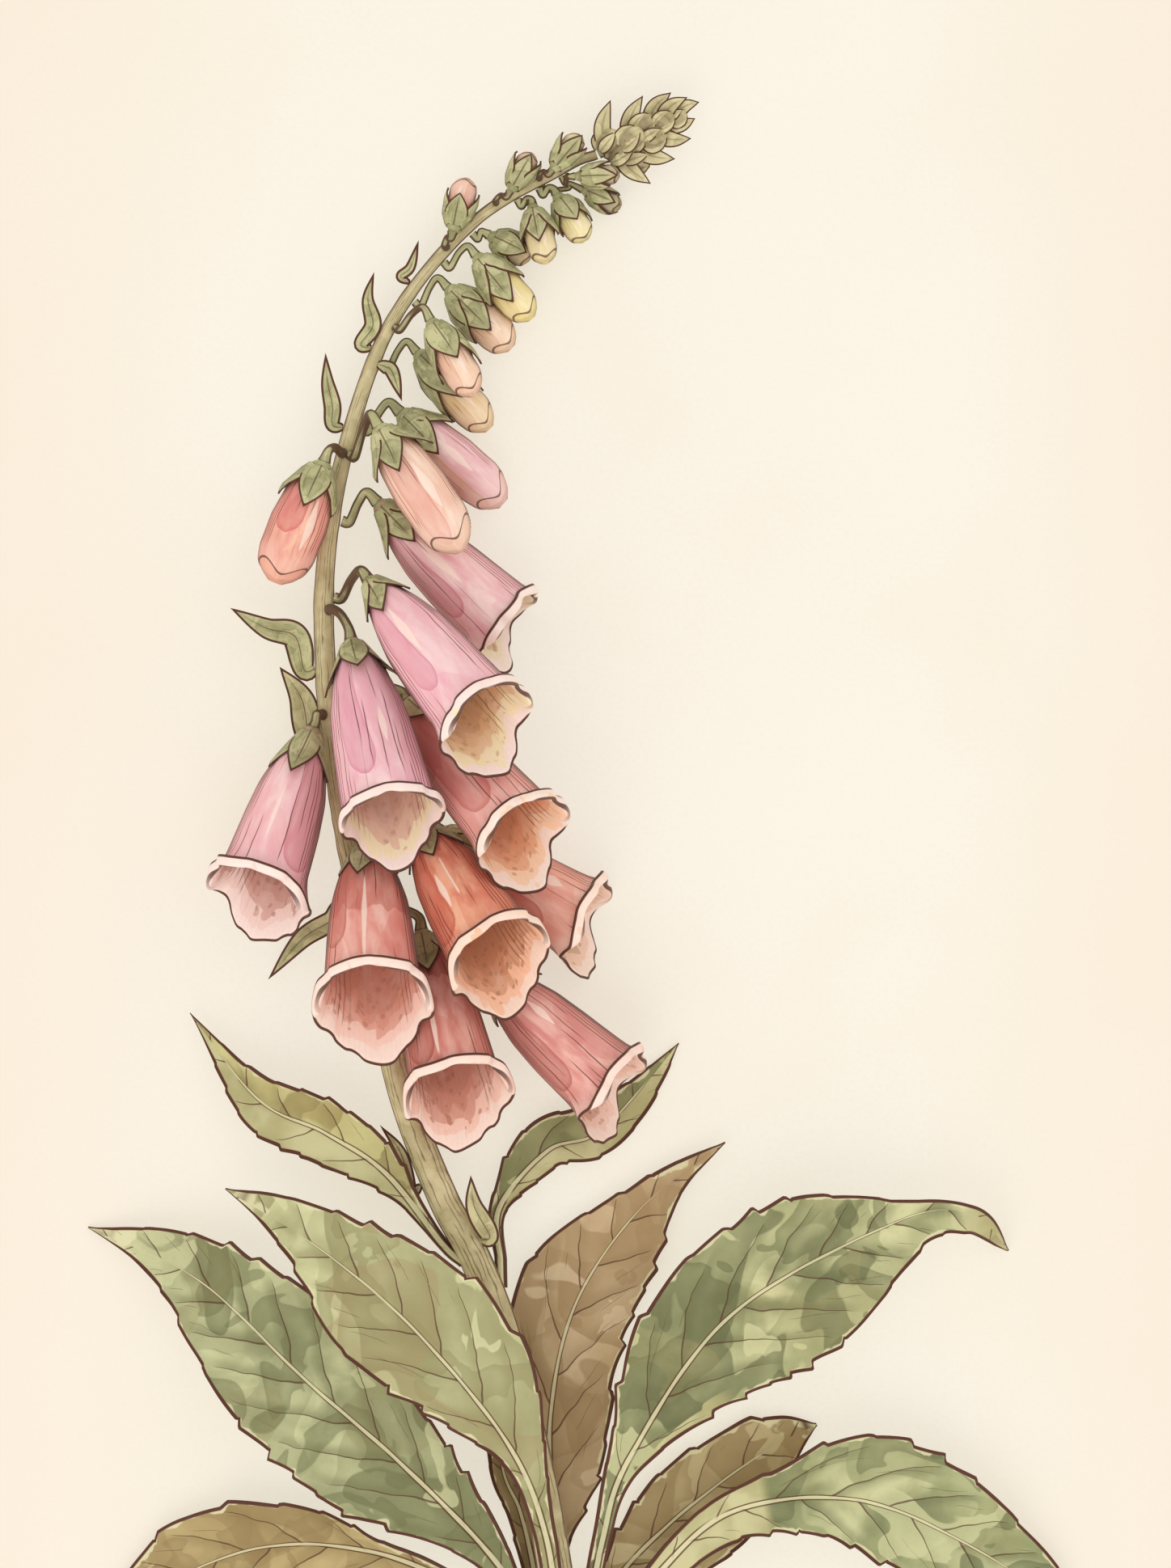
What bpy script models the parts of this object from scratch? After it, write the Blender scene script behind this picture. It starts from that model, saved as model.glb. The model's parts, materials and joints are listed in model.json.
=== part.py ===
"""Cut flowering shoot of a foxglove, lying on its back on a flat surface.

The stem runs along Y with its cut foot at -Y and its nodding tip at +Y. The surface it lies on is z = 0.
The plan is written in millimetres and turned into metres when a body is made.
"""

import math

import bmesh
import bpy
import numpy as np

MM = 0.001
GAP = 0.35
UP = np.array([0.0, 0.0, 1.0])
CENTRE = np.array([5.006, -0.269, 0.284])

# Stem: centre line (x, y, z) and thickness from the cut foot to the neck below the tip
STEM_LINE = [
    (-2, -194.5, 14), (-4, -174.5, 14), (-8.5, -148.5, 13.5), (-16, -116.5, 12.5), (-24, -94.5, 11.5),
    (-32.5, -78.5, 10.5), (-42.5, -52.5, 9.5), (-49, -22.5, 9), (-56.5, 13.5, 9), (-61, 45.5, 9),
    (-61.5, 77.5, 8.5), (-56, 108.5, 8.5), (-44.5, 139, 8), (-24.5, 163, 7.5), (-2, 176.5, 7),
    (5.5, 179.5, 7),
]
STEM_RADIUS = [(0, 4.5), (0.25, 4.0), (0.5, 3.2), (0.75, 2.1), (0.9, 1.5), (1, 1.3)]
STEM_RINGS = 24
STEM_SIDES = 12

# Bells: radius along the tube as a share of the tube radius, then the flare to the rim
TUBE_PROFILE = [(0, 0.2), (0.05, 0.32), (0.12, 0.46), (0.25, 0.68), (0.4, 0.86), (0.6, 0.97), (0.8, 1.04),
                (0.9, 1.12)]
BELL_STEPS = [0.03, 0.12, 0.26, 0.48, 0.72, 0.9, 1.0]
BELL_SIDES = 14
BELL_WALL = 1.0
BELL_FLOOR = 0.2
LIP_SHORT = -1.5
LIP_SIDE = 2.0
LIP_LONG = 7.0

# Closed buds: radius along the bud as a share of its largest radius
BUD_PROFILE = [(0, 0.3), (0.08, 0.55), (0.25, 0.88), (0.55, 1.0), (0.8, 0.88), (0.93, 0.55), (1, 0.2)]
BUD_STEPS = [0.03, 0.12, 0.28, 0.5, 0.74, 0.9, 0.99]
BUD_SIDES = 10

# Calyx: five pointed sepals on a cup, and the stalk behind it
SEPALS = 5
CUP_LENGTH = 3.0
SEPAL_LENGTH = 9.5
SEPAL_THICKNESS = 0.9
SEPAL_FLICK = 1.6
STALK_RADIUS = 1.15
FACET_ROOM = 1.05
STALK_RINGS = 6

PINK = (0.74, 0.36, 0.42)
MAUVE = (0.74, 0.42, 0.52)
ROSE = (0.60, 0.20, 0.21)
DUSTY = (0.64, 0.27, 0.26)
CORAL = (0.66, 0.20, 0.13)
PEACH = (0.80, 0.44, 0.28)
CREAM = (0.80, 0.66, 0.38)
GREEN = (0.31, 0.34, 0.16)
SAGE = (0.28, 0.33, 0.17)
BROWN = (0.36, 0.29, 0.19)

# Open bells: base and mouth centre (x, y, z), roll of the short lip, tube and rim radius,
# place of the stalk on the stem (y, angle round it), colour
BELLS = {
    "a": ((-37.5, -13.5, 13), (-28, -54.5, 27), 5, 10.0, 13.2, (-9, 0), ROSE),
    "b": ((-22, -22.5, 13), (9.5, -51, 19), 60, 9.3, 12.8, (-15, -40), DUSTY),
    "c": ((-51, 9, 17), (-48.5, -31, 39), 0, 10.6, 14.0, (15, 75), DUSTY),
    "d": ((-38, 13, 20), (-17.5, -20, 38), 20, 10.0, 13.0, (20, 35), CORAL),
    "e": ((-32.5, 11.5, 10), (3, -10.5, 12.6), 60, 9.0, 12.6, (8, -35), DUSTY),
    "f": ((-40.5, 43.5, 12.5), (-12.5, 11, 37), 35, 9.8, 12.8, (48, 0), ROSE),
    "g": ((-54.5, 58, 20.7), (-44, 15.5, 42.8), 5, 10.4, 12.4, (67, 60), MAUVE),
    "h": ((-64.5, 36.5, 15), (-77.5, -4, 26), -20, 9.5, 13.0, (41, 120), PINK),
    "i": ((-50, 73, 21), (-21, 38.5, 48), 35, 9.6, 12.4, (70, 20), MAUVE),
    "j": ((-48, 92.5, 11), (-17, 63.5, 11.7), 50, 8.8, 11.4, (89, 0), PINK),
}

# Large closed buds: base, tip, radius, place of the stalk, colour
LARGE_BUDS = {
    "k": ((-47.5, 110.5, 21), (-27.5, 80.5, 26), 7.0, (105, 50), PEACH),
    "l": ((-42.5, 115, 8.5), (-17.5, 93, 6.7), 6.3, (112.5, 0), PINK),
    "m": ((-61.8, 102, 17), (-73.5, 73, 19), 7.2, (105, 100), PEACH),
}

# Buds with their calyx and stalk in one: base, tip, radius, place of the stalk, colour
BUDS = {
    "n": ((-35, 137, 16), (-24.5, 119, 18), 4.6, (137.5, 45), PEACH),
    "o": ((-38.5, 130, 7), (-21, 111.5, 6.5), 5.0, (128, -15), PEACH),
    "p": ((-30.8, 146, 7.5), (-15.5, 131.5, 6.5), 5.0, (144, -8), PEACH),
    "q": ((-23.8, 153.7, 9.3), (-10.5, 138.5, 10.3), 4.7, (154, 10), CREAM),
    "r": ((-10.2, 166, 9.5), (-7, 152, 12.5), 3.7, (169.5, 10), CREAM),
    "s": ((-20.5, 159.2, 7), (-10.8, 154, 5), 3.6, (161, 0), SAGE),
    "t": ((-4, 169, 7.5), (2.8, 158, 7), 3.7, (172.5, 0), CREAM),
    "u": ((-29.8, 160.4, 12.8), (-26.5, 173.2, 10), 3.4, (156.5, 100), PINK),
    "v": ((-15.5, 170.4, 12.2), (-10.5, 179.5, 9.5), 2.8, (167, 100), SAGE),
    "w": ((-5, 175.6, 12.0), (1.5, 184, 9.5), 2.8, (173.2, 100), SAGE),
    "x": ((1, 173.8, 10), (11.3, 174.3, 9.5), 2.6, (175.3, 10), SAGE),
    "y": ((2.8, 170.8, 4.2), (11.6, 166.8, 4.2), 2.6, (173.2, -50), SAGE),
}
SEPAL_RELIEF = 0.7
STALK_ARCHES = {"b": (-36, -17.5, 4.2), "y": (-1.5, 171.5, 3.9)}
BUD_STALK_RADIUS = 0.9

# Lower leaves: angle of the stalk round the stem foot, points along the midrib (x, y, z), then the
# outline to the left and to the right of it (share of the length, distance from the midrib), colour
LEAVES = {
    "a": (150, [(-18.5, -169, 15), (-41.5, -144.5, 18), (-66, -123, 18), (-93, -99, 11), (-121, -87, 1.0)],
          [(0, 2), (0.14, 2.8), (0.22, 5), (0.31, 11.4), (0.4, 19), (0.51, 21), (0.64, 18.6), (0.775, 12.5),
           (0.82, 8.5), (0.9, 3.4), (0.95, 1.3), (1, 0)],
          [(0, 2), (0.14, 2.2), (0.22, 6.3), (0.31, 10), (0.4, 13), (0.51, 16), (0.64, 17), (0.775, 12.9),
           (0.82, 10.3), (0.9, 6.8), (0.95, 3.5), (1, 0)], SAGE),
    "b": (95, [(-7, -160, 24), (-16.5, -137, 27), (-39.5, -109, 28), (-62.5, -90, 24), (-86, -76.5, 13)],
          [(0, 2), (0.17, 3), (0.26, 3), (0.32, 3), (0.385, 4.5), (0.44, 9), (0.575, 14.7), (0.7, 16),
           (0.77, 12), (0.83, 7), (0.93, 1.9), (1, 0)],
          [(0, 2), (0.17, 2.2), (0.26, 3.1), (0.32, 5.4), (0.385, 10), (0.44, 16), (0.575, 19.8),
           (0.7, 16.5), (0.83, 9.5), (0.93, 5.2), (1, 0)], SAGE),
    "c": (268, [(-4.5, -162, 6.3), (-6, -135, 5), (0, -106.5, 4), (16, -82.5, 4), (37.5, -65.5, 5)],
          [(0, 2), (0.2, 2.2), (0.28, 6), (0.34, 11), (0.43, 14), (0.6, 15), (0.665, 15.4), (0.74, 11),
           (0.82, 6), (0.9, 3.8), (0.95, 2.4), (1, 0)],
          [(0, 2), (0.2, 2.2), (0.28, 10), (0.34, 13.5), (0.43, 15), (0.6, 15), (0.74, 13.5), (0.82, 8.6),
           (0.9, 2.8), (0.95, 1.4), (1, 0)], BROWN),
    "d": (42, [(7, -162, 19), (14, -141, 21), (38.5, -106.5, 23), (79.5, -84, 18), (98, -82.5, 14),
               (108, -92.5, 1.2)],
          [(0, 2), (0.2, 2.6), (0.25, 3.2), (0.31, 6.5), (0.41, 15), (0.54, 18.6), (0.655, 17.7),
           (0.72, 13), (0.79, 5.2), (0.83, 2.4), (0.9, 2), (0.96, 2), (1, 0)],
          [(0, 2), (0.2, 2), (0.25, 2.6), (0.31, 5), (0.41, 13), (0.54, 21), (0.655, 21), (0.72, 16.8),
           (0.79, 10), (0.83, 6.7), (0.9, 5.2), (0.96, 3.2), (1, 0)], SAGE),
    "e": (312, [(12, -172, 5), (24, -160, 4), (38, -149, 3), (50, -141, 2.5), (60.4, -136, 1.5)],
          [(0, 1.8), (0.2, 2), (0.3, 6), (0.4, 9), (0.55, 12), (0.7, 11.5), (0.85, 9), (0.95, 4.5), (1, 0)],
          [(0, 1.8), (0.16, 2), (0.3, 9), (0.45, 15), (0.6, 16), (0.75, 13), (0.88, 7), (1, 0)], BROWN),
    "f": (352, [(17, -175, 13), (38, -156, 16), (69.5, -153, 14), (99.5, -166, 8), (131, -188, 1.0)],
          [(0, 2), (0.14, 2.6), (0.2, 3.7), (0.31, 4.2), (0.41, 6.5), (0.5, 14), (0.575, 18.2), (0.71, 15.4),
           (0.85, 9), (0.95, 3), (1, 0)],
          [(0, 2), (0.14, 3), (0.2, 4.6), (0.31, 7), (0.41, 8), (0.5, 10), (0.575, 13.5), (0.71, 14),
           (0.85, 9), (0.95, 3), (1, 0)], SAGE),
    "g": (190, [(-22, -178, 11), (-49.5, -166.5, 10), (-81, -166.5, 7), (-119, -184, 1.0)],
          [(0, 1.8), (0.2, 2), (0.4, 7), (0.55, 11), (0.7, 12), (0.85, 8), (0.95, 3), (1, 0)],
          [(0, 1.8), (0.2, 2), (0.33, 3), (0.41, 3), (0.52, 8.5), (0.605, 11), (0.7, 13), (0.8, 12.5),
           (0.9, 7), (0.96, 3), (1, 0)], SAGE),
    "h": (226, [(-10, -172, 3.0), (-13.5, -157.5, 1.3), (-18, -146, 1.0), (-20, -121, 1.0)],
          [(0, 2), (0.2, 2.4), (0.35, 3.2), (0.6, 3.6), (0.8, 3), (1, 0)],
          [(0, 2), (0.2, 2.4), (0.35, 5), (0.6, 8), (0.8, 6), (1, 0)], BROWN),
}
LEAF_STALK = 1.9
LEAF_THICKNESS = 1.3
LEAF_RINGS = 19
LEAF_FEET = [(0.5, 0.0), (8.0, 0.6)]

# Stem leaves: place on the stem, midrib points, outline to the left and to the right, colour
STEM_LEAVES = {
    "left": ((-86, 180), [(-46.5, -72.5, 13), (-61.5, -62.5, 14), (-78, -54.5, 11), (-95.5, -33.5, 3)],
             [(0, 1.4), (0.1, 1.4), (0.22, 2.6), (0.32, 5.5), (0.44, 7.5), (0.55, 8), (0.665, 7.2),
              (0.75, 5), (0.83, 3), (0.92, 1.3), (1, 0)],
             [(0, 1.4), (0.1, 1.4), (0.22, 2.6), (0.32, 5.5), (0.44, 7.5), (0.55, 8), (0.665, 7.2),
              (0.75, 5), (0.83, 3), (0.92, 1.3), (1, 0)], SAGE),
    "right": ((-95, -15), [(-18.5, -81.5, 6), (-6.5, -67.5, 4.5), (7, -62.5, 2.0), (26, -41, 1.6)],
              [(0, 1.4), (0.12, 1.4), (0.25, 2.5), (0.4, 7), (0.5, 8), (0.65, 8), (0.8, 4), (0.9, 1.8),
               (1, 0)],
              [(0, 1.4), (0.12, 1.4), (0.25, 2), (0.4, 4.5), (0.5, 5), (0.65, 6), (0.8, 5), (0.9, 3), (1, 0)],
              SAGE),
}

# Bracts on the stem: place on the stem, points along the middle (x, y, z), half width
BRACTS = {
    "a": ((147, 180), [(-40.5, 151.5, 8.5), (-38.5, 158, 9)], 1.1),
    "b": ((131, 180), [(-49.8, 137, 9), (-51, 143.5, 10), (-49.5, 150, 10.5)], 1.8),
    "c": ((111, 180), [(-59.8, 117, 9), (-61, 123, 9.5), (-61.5, 130, 10)], 1.8),
    "d": ((127.5, 40), [(-44.8, 125, 13), (-42.5, 118, 14)], 1.5),
    "e": ((52, 175), [(-69, 60.0, 10), (-76, 62, 11), (-85, 67, 9)], 2.8),
    "f": ((36, 178), [(-67.5, 44.5, 7.5), (-73, 52.5, 6.5)], 3.0),
    "g": ((-6, 180), [(-60.5, -10.5, 7), (-67.5, -15, 6), (-76, -25, 4)], 2.2),
    "h": ((-74, 180), [(-43, -67.5, 10), (-48, -61, 9)], 1.5),
    "i": ((-91, 30), [(-24.6, -80.5, 15), (-25.5, -73, 15)], 2.2),
}
BRACT_THICKNESS = 0.85
BRACT_RINGS = 6

# Tip cluster: its stalk, then round young buds (centre, radius) and pointed bracts (base, tip, half width)
TIP_LINE = [(6.0, 179.8, 7), (14, 184, 7), (22, 187.5, 7), (26.5, 189, 7)]
TIP_RADIUS = [(0, 1.3), (0.2, 2.4), (0.6, 2.8), (1, 1.6)]
TIP_BUDS = [
    ((8.6, 182.6, 8), 2.6), ((11.8, 179.6, 7.5), 2.7), ((17.2, 186.6, 8), 2.6), ((19.8, 183.6, 8.5), 2.5),
    ((15.6, 178.6, 6.5), 2.6), ((14.2, 183.2, 10), 2.6), ((22.4, 187.6, 9), 2.2), ((25.6, 188.8, 8), 1.9),
    ((18.5, 184.8, 4.8), 2.5), ((11, 181.4, 4.9), 2.5),
]
TIP_BRACTS = [
    ((7, 181, 7), (9, 193, 7.5), 1.5), ((13, 183, 7), (17, 194, 8), 1.6), ((18, 187, 7), (24, 194.8, 8), 1.5),
    ((21, 187.5, 8), (28, 193.5, 9), 1.4), ((24.5, 188.4, 7), (31, 192.5, 7.5), 1.3),
    ((22, 186.5, 7), (30, 188.5, 7), 1.4), ((19.5, 184.5, 7), (29, 183.5, 7), 1.5),
    ((15, 181, 7), (25, 178.5, 6.5), 1.6), ((10.5, 180, 7), (19, 172.4, 6), 1.6),
]


def clear_scene():
    for obj in list(bpy.data.objects):
        bpy.data.objects.remove(obj, do_unlink=True)


def unit(vector):
    return vector / np.linalg.norm(vector)


def smooth_path(points, count):
    """Evenly spaced points on a smooth curve through the given ones."""
    pts = np.array(points, dtype=float)
    ends = np.vstack([2 * pts[0] - pts[1], pts, 2 * pts[-1] - pts[-2]])
    fine = []
    for a, b, c, d in zip(ends[:-3], ends[1:-2], ends[2:-1], ends[3:]):
        for s in np.linspace(0, 1, 12, endpoint=False):
            bend = (2 * a - 5 * b + 4 * c - d) * s * s + (3 * b - a - 3 * c + d) * s ** 3
            fine.append(0.5 * (2 * b + (c - a) * s + bend))
    fine = np.array(fine + [pts[-1]])
    run = np.concatenate([[0], np.cumsum(np.linalg.norm(np.diff(fine, axis=0), axis=1))])
    want = np.linspace(0, run[-1], count)
    return np.column_stack([np.interp(want, run, fine[:, k]) for k in range(3)])


def headings(path):
    steps = np.gradient(path, axis=0)
    return steps / np.linalg.norm(steps, axis=1)[:, None]


def carried_frames(path, first_up):
    """Side and up vectors along a path, carried from its first point without twist."""
    up = first_up
    frames = []
    for heading in headings(path):
        up = unit(up - heading * np.dot(up, heading))
        frames.append((np.cross(heading, up), up))
    return frames


def ramp(value, low, high):
    part = min(max((value - low) / (high - low), 0.0), 1.0)
    return part * part * (3 - 2 * part)


def profile(rows, value):
    places, radii = zip(*rows)
    return float(np.interp(value, places, radii))


def material(name, colour, roughness):
    mat = bpy.data.materials.new(name)
    mat.use_nodes = True
    shader = mat.node_tree.nodes["Principled BSDF"]
    shader.inputs["Base Color"].default_value = (*colour, 1.0)
    shader.inputs["Roughness"].default_value = roughness
    shader.inputs["Metallic"].default_value = 0.0
    return mat


def closed_body(name, start, rings, end, colour, roughness=0.55):
    """One closed body: rings joined in order, with a fan to a point at both ends."""
    sides = len(rings[0])
    verts = [start] + [point for ring in rings for point in ring] + [end]
    last = 1 + (len(rings) - 1) * sides
    faces = []
    for k in range(sides):
        after = (k + 1) % sides
        faces.append((0, 1 + after, 1 + k))
        faces.append((last + k, last + after, len(verts) - 1))
        for first in range(1, last, sides):
            faces.append((first + k, first + after, first + after + sides, first + k + sides))
    mesh = bpy.data.meshes.new(name)
    mesh.from_pydata([tuple((np.array(v) - CENTRE) * MM) for v in verts], [], faces)
    work = bmesh.new()
    work.from_mesh(mesh)
    bmesh.ops.recalc_face_normals(work, faces=work.faces)
    work.to_mesh(mesh)
    work.free()
    for polygon in mesh.polygons:
        polygon.use_smooth = True
    mesh.materials.append(material(name, colour, roughness))
    obj = bpy.data.objects.new(name, mesh)
    bpy.context.scene.collection.objects.link(obj)
    return obj


def circle(centre, side, up, radius, count, squash=1.0):
    points = []
    for angle in np.linspace(0, 2 * math.pi, count, endpoint=False):
        points.append(centre + radius * (math.cos(angle) * up * squash + math.sin(angle) * side))
    return points


STEM_PATH = smooth_path(STEM_LINE, 400)
STEM_HEADINGS = headings(STEM_PATH)


def stem_place(y, around, distance):
    """Point at a distance outside the stem's skin, at a height y and an angle round the stem."""
    index = int(np.argmin(np.abs(STEM_PATH[:, 1] - y)))
    heading = STEM_HEADINGS[index]
    right = unit(np.cross(heading, UP))
    top = np.cross(right, heading)
    angle = math.radians(around)
    outward = math.cos(angle) * right + math.sin(angle) * top
    radius = profile(STEM_RADIUS, index / (len(STEM_PATH) - 1))
    return STEM_PATH[index] + (radius + distance) * outward


def build_stem():
    path = smooth_path(STEM_LINE, STEM_RINGS)
    rings = []
    for k, (side, up) in enumerate(carried_frames(path, UP)):
        radius = profile(STEM_RADIUS, k / (STEM_RINGS - 1))
        rings.append(circle(path[k], side, up, radius, STEM_SIDES))
    return closed_body("stem", path[0], rings, path[-1], GREEN)


class Flower:
    """Axes of a bell or bud, from its base to its mouth, with the short lip on the dorsal side."""

    def __init__(self, base, mouth, roll):
        self.base = np.array(base, dtype=float)
        self.axis = unit(np.array(mouth) - self.base)
        self.length = float(np.linalg.norm(np.array(mouth) - self.base))
        level = unit(np.cross(UP, self.axis))
        toward = np.cross(self.axis, level)
        angle = math.radians(roll)
        self.dorsal = math.cos(angle) * toward + math.sin(angle) * level
        self.side = np.cross(self.axis, self.dorsal)

    def point(self, along, angle, radius):
        outward = math.cos(angle) * self.dorsal + math.sin(angle) * self.side
        return self.base + along * self.axis + radius * outward


def bell_lip(angle):
    """How far the rim reaches past the mouth centre at an angle from the dorsal side."""
    back = max(0.0, -math.cos(angle))
    return LIP_SHORT + (LIP_SIDE - LIP_SHORT) * math.sin(angle) ** 2 + (LIP_LONG - LIP_SHORT) * back ** 4


def bell_radius(share, tube, rim):
    if share <= TUBE_PROFILE[-1][0]:
        return tube * profile(TUBE_PROFILE, share)
    neck = TUBE_PROFILE[-1]
    return tube * neck[1] + (rim - tube * neck[1]) * (share - neck[0]) / (1 - neck[0])


def bell_ring(flower, share, tube, rim, inset):
    ring = []
    for angle in np.linspace(0, 2 * math.pi, BELL_SIDES, endpoint=False):
        along = share * flower.length + bell_lip(angle) * ramp(share, 0.6, 1.0)
        belly = 1.0 - 0.06 * math.cos(angle) * math.sin(math.pi * share)
        ring.append(flower.point(along, angle, bell_radius(share, tube, rim) * belly - inset))
    return ring


def build_bell(letter):
    base, mouth, roll, tube, rim, _, colour = BELLS[letter]
    flower = Flower(base, mouth, roll)
    outer = [bell_ring(flower, share, tube, rim, 0.0) for share in BELL_STEPS]
    inner = [bell_ring(flower, share, tube, rim, BELL_WALL) for share in reversed(BELL_STEPS[2:])]
    floor = flower.base + BELL_FLOOR * flower.length * flower.axis
    return closed_body("corolla_" + letter, flower.base, outer + inner, floor, colour)


def build_large_bud(letter):
    base, tip, radius, _, colour = LARGE_BUDS[letter]
    flower = Flower(base, tip, 0)
    angles = np.linspace(0, 2 * math.pi, BELL_SIDES, endpoint=False)
    rings = []
    for share in BUD_STEPS:
        width = radius * profile(BUD_PROFILE, share)
        rings.append([flower.point(share * flower.length, angle, width) for angle in angles])
    end = flower.base + flower.length * flower.axis
    return closed_body("corolla_" + letter, flower.base, rings, end, colour)


def stalk_path(letter, flower, place, count):
    """Centre line of a flower stalk: out of the stem, over an arch, into the back of the flower."""
    root = stem_place(*place, GAP + 0.35)
    out = stem_place(*place, GAP + 2.0)
    behind = flower.base - min(4.5, 0.45 * np.linalg.norm(flower.base - root)) * flower.axis
    arch = np.array(STALK_ARCHES.get(letter, (out + behind) / 2 + np.array([0.0, 1.0, 0.0])))
    end = flower.base - (GAP + SEPAL_THICKNESS) * flower.axis
    return smooth_path([root, out, arch, behind, end], count)


def sepal_reach(angle):
    """Share of a sepal's full length at an angle: one at its middle, nothing between two sepals."""
    turn = (angle / (2 * math.pi) * SEPALS) % 1.0
    return 1.0 - 2.0 * min(turn, 1.0 - turn)


def calyx_ring(flower, share, width, offset):
    """A ring of the calyx at a share of the way from its bottom to its pointed rim."""
    ring = []
    for angle in np.linspace(0, 2 * math.pi, 2 * SEPALS, endpoint=False):
        reach = sepal_reach(angle)
        along = share * (CUP_LENGTH + SEPAL_LENGTH * reach)
        flick = SEPAL_FLICK * reach * share ** 3
        ring.append(flower.point(along, angle, width(along) + offset + flick))
    return ring


def build_calyx(letter, base, mouth, roll, width, place):
    flower = Flower(base, mouth, roll)
    path = stalk_path(letter, flower, place, STALK_RINGS)
    backward = carried_frames(path[::-1], flower.dorsal)[::-1]
    rings = []
    for centre, (side, up) in zip(path, backward):
        rings.append(circle(centre, -side, up, STALK_RADIUS, 2 * SEPALS))
    outside = 1.3 * GAP + SEPAL_THICKNESS
    rings += [calyx_ring(flower, share, width, outside) for share in (0.0, 0.3, 0.65)]
    rings.append(calyx_ring(flower, 1.0, width, GAP + 0.5 * SEPAL_THICKNESS))
    roomy = lambda along: width(along) * FACET_ROOM
    rings += [calyx_ring(flower, share, roomy, GAP) for share in (0.9, 0.6, 0.3, 0.0)]
    bottom = flower.base - GAP * flower.axis
    return closed_body("calyx_" + letter, path[0], rings, bottom, GREEN)


def bud_width(flower, radius):
    return lambda along: radius * profile(BUD_PROFILE, along / flower.length)


def build_bud(letter):
    """A young bud in one piece: stalk, sepals pressed on the bud, and its tip."""
    base, tip, radius, place, colour = BUDS[letter]
    flower = Flower(base, tip, 0)
    path = stalk_path(letter, flower, place, STALK_RINGS)
    backward = carried_frames(path[::-1], flower.dorsal)[::-1]
    rings = []
    for centre, (side, up) in zip(path[:-1], backward[:-1]):
        rings.append(circle(centre, -side, up, BUD_STALK_RADIUS, BUD_SIDES))
    for share in BUD_STEPS:
        ring = []
        for angle in np.linspace(0, 2 * math.pi, BUD_SIDES, endpoint=False):
            covered = 1.0 - ramp(share, 0.2, 0.35 + 0.4 * sepal_reach(angle))
            width = radius * profile(BUD_PROFILE, share) + SEPAL_RELIEF * covered
            ring.append(flower.point(share * flower.length, angle, width))
        rings.append(ring)
    end = flower.base + flower.length * flower.axis
    return closed_body("bud_" + letter, path[0], rings, end, colour)


def blade_ring(centre, side, up, left, right, thick):
    """Ten points round a leaf: five over the top from left to right, five back underneath."""
    across = (-left, -0.5 * left, 0.0, 0.5 * right, right)
    lift = (0.10 * left, 0.02 * left, 0.0, 0.02 * right, 0.10 * right)
    half = (0.3, 0.42, 0.5, 0.42, 0.3)
    top = [centre + a * side + (z + h * thick) * up for a, z, h in zip(across, lift, half)]
    under = [centre + a * side + (z - h * thick) * up for a, z, h in zip(across, lift, half)]
    return top + under[::-1]


def build_leaf(name, path, left, right, colour):
    rings = []
    for k, heading in enumerate(headings(path)):
        place = k / (len(path) - 1)
        side = unit(np.cross(heading, UP))
        up = np.cross(side, heading)
        half = [max(profile(outline, place), 0.35) for outline in (left, right)]
        thick = LEAF_THICKNESS + (2 * LEAF_STALK - LEAF_THICKNESS) * (1.0 - ramp(place, 0.0, 0.35))
        rings.append(blade_ring(path[k], side, up, half[0], half[1], thick))
    return closed_body(name, path[0], rings, path[-1], colour, 0.6)


def build_lower_leaf(letter):
    around, points, left, right, colour = LEAVES[letter]
    reach = GAP + LEAF_STALK + 0.3
    feet = [stem_place(STEM_LINE[0][1] + rise, around, reach + lean) for rise, lean in LEAF_FEET]
    path = smooth_path(feet + points, LEAF_RINGS)
    return build_leaf("leaf_" + letter, path, left, right, colour)


def build_stem_leaf(which):
    place, points, left, right, colour = STEM_LEAVES[which]
    feet = [stem_place(*place, GAP + 0.8), stem_place(*place, GAP + 3.2)]
    path = smooth_path(feet + points, LEAF_RINGS)
    return build_leaf("stem_leaf_" + which, path, left, right, colour)


def bract_body(name, points, half_width, colour):
    path = smooth_path(points, BRACT_RINGS)
    rings = []
    for k, heading in enumerate(headings(path)):
        place = k / (BRACT_RINGS - 1)
        side = unit(np.cross(heading, UP))
        up = np.cross(side, heading)
        width = half_width * (0.45 + 0.55 * math.sin(math.pi * min(1.0, 0.12 + place))) * (1.02 - place ** 2)
        rings.append(circle(path[k], side, up, max(width, 0.2), 6, BRACT_THICKNESS / (2 * max(width, 0.45))))
    return closed_body(name, path[0], rings, path[-1], colour)


def build_bract(letter):
    place, points, half_width = BRACTS[letter]
    feet = [stem_place(*place, GAP + 0.8), stem_place(*place, GAP + 2.6)]
    return bract_body("bract_" + letter, feet + points, half_width, GREEN)


def unite(target, helper):
    """Join a helper body to the target; the helper itself is hidden."""
    joined = target.modifiers.new("join_" + helper.name, "BOOLEAN")
    joined.operation = "UNION"
    joined.solver = "EXACT"
    joined.object = helper
    helper.hide_render = True
    helper.hide_set(True)


def young_bud(name, centre, radius):
    middle = np.array(centre)
    rings = []
    for share in (-0.8, -0.3, 0.3, 0.8):
        width = radius * math.sqrt(1.0 - share ** 2)
        level = middle + share * radius * 1.2 * np.array([0.8, 0.6, 0.0])
        rings.append(circle(level, np.array([-0.6, 0.8, 0.0]), UP, width, 7))
    reach = radius * 1.2 * np.array([0.8, 0.6, 0.0])
    return closed_body(name, middle - reach, rings, middle + reach, SAGE)


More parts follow.
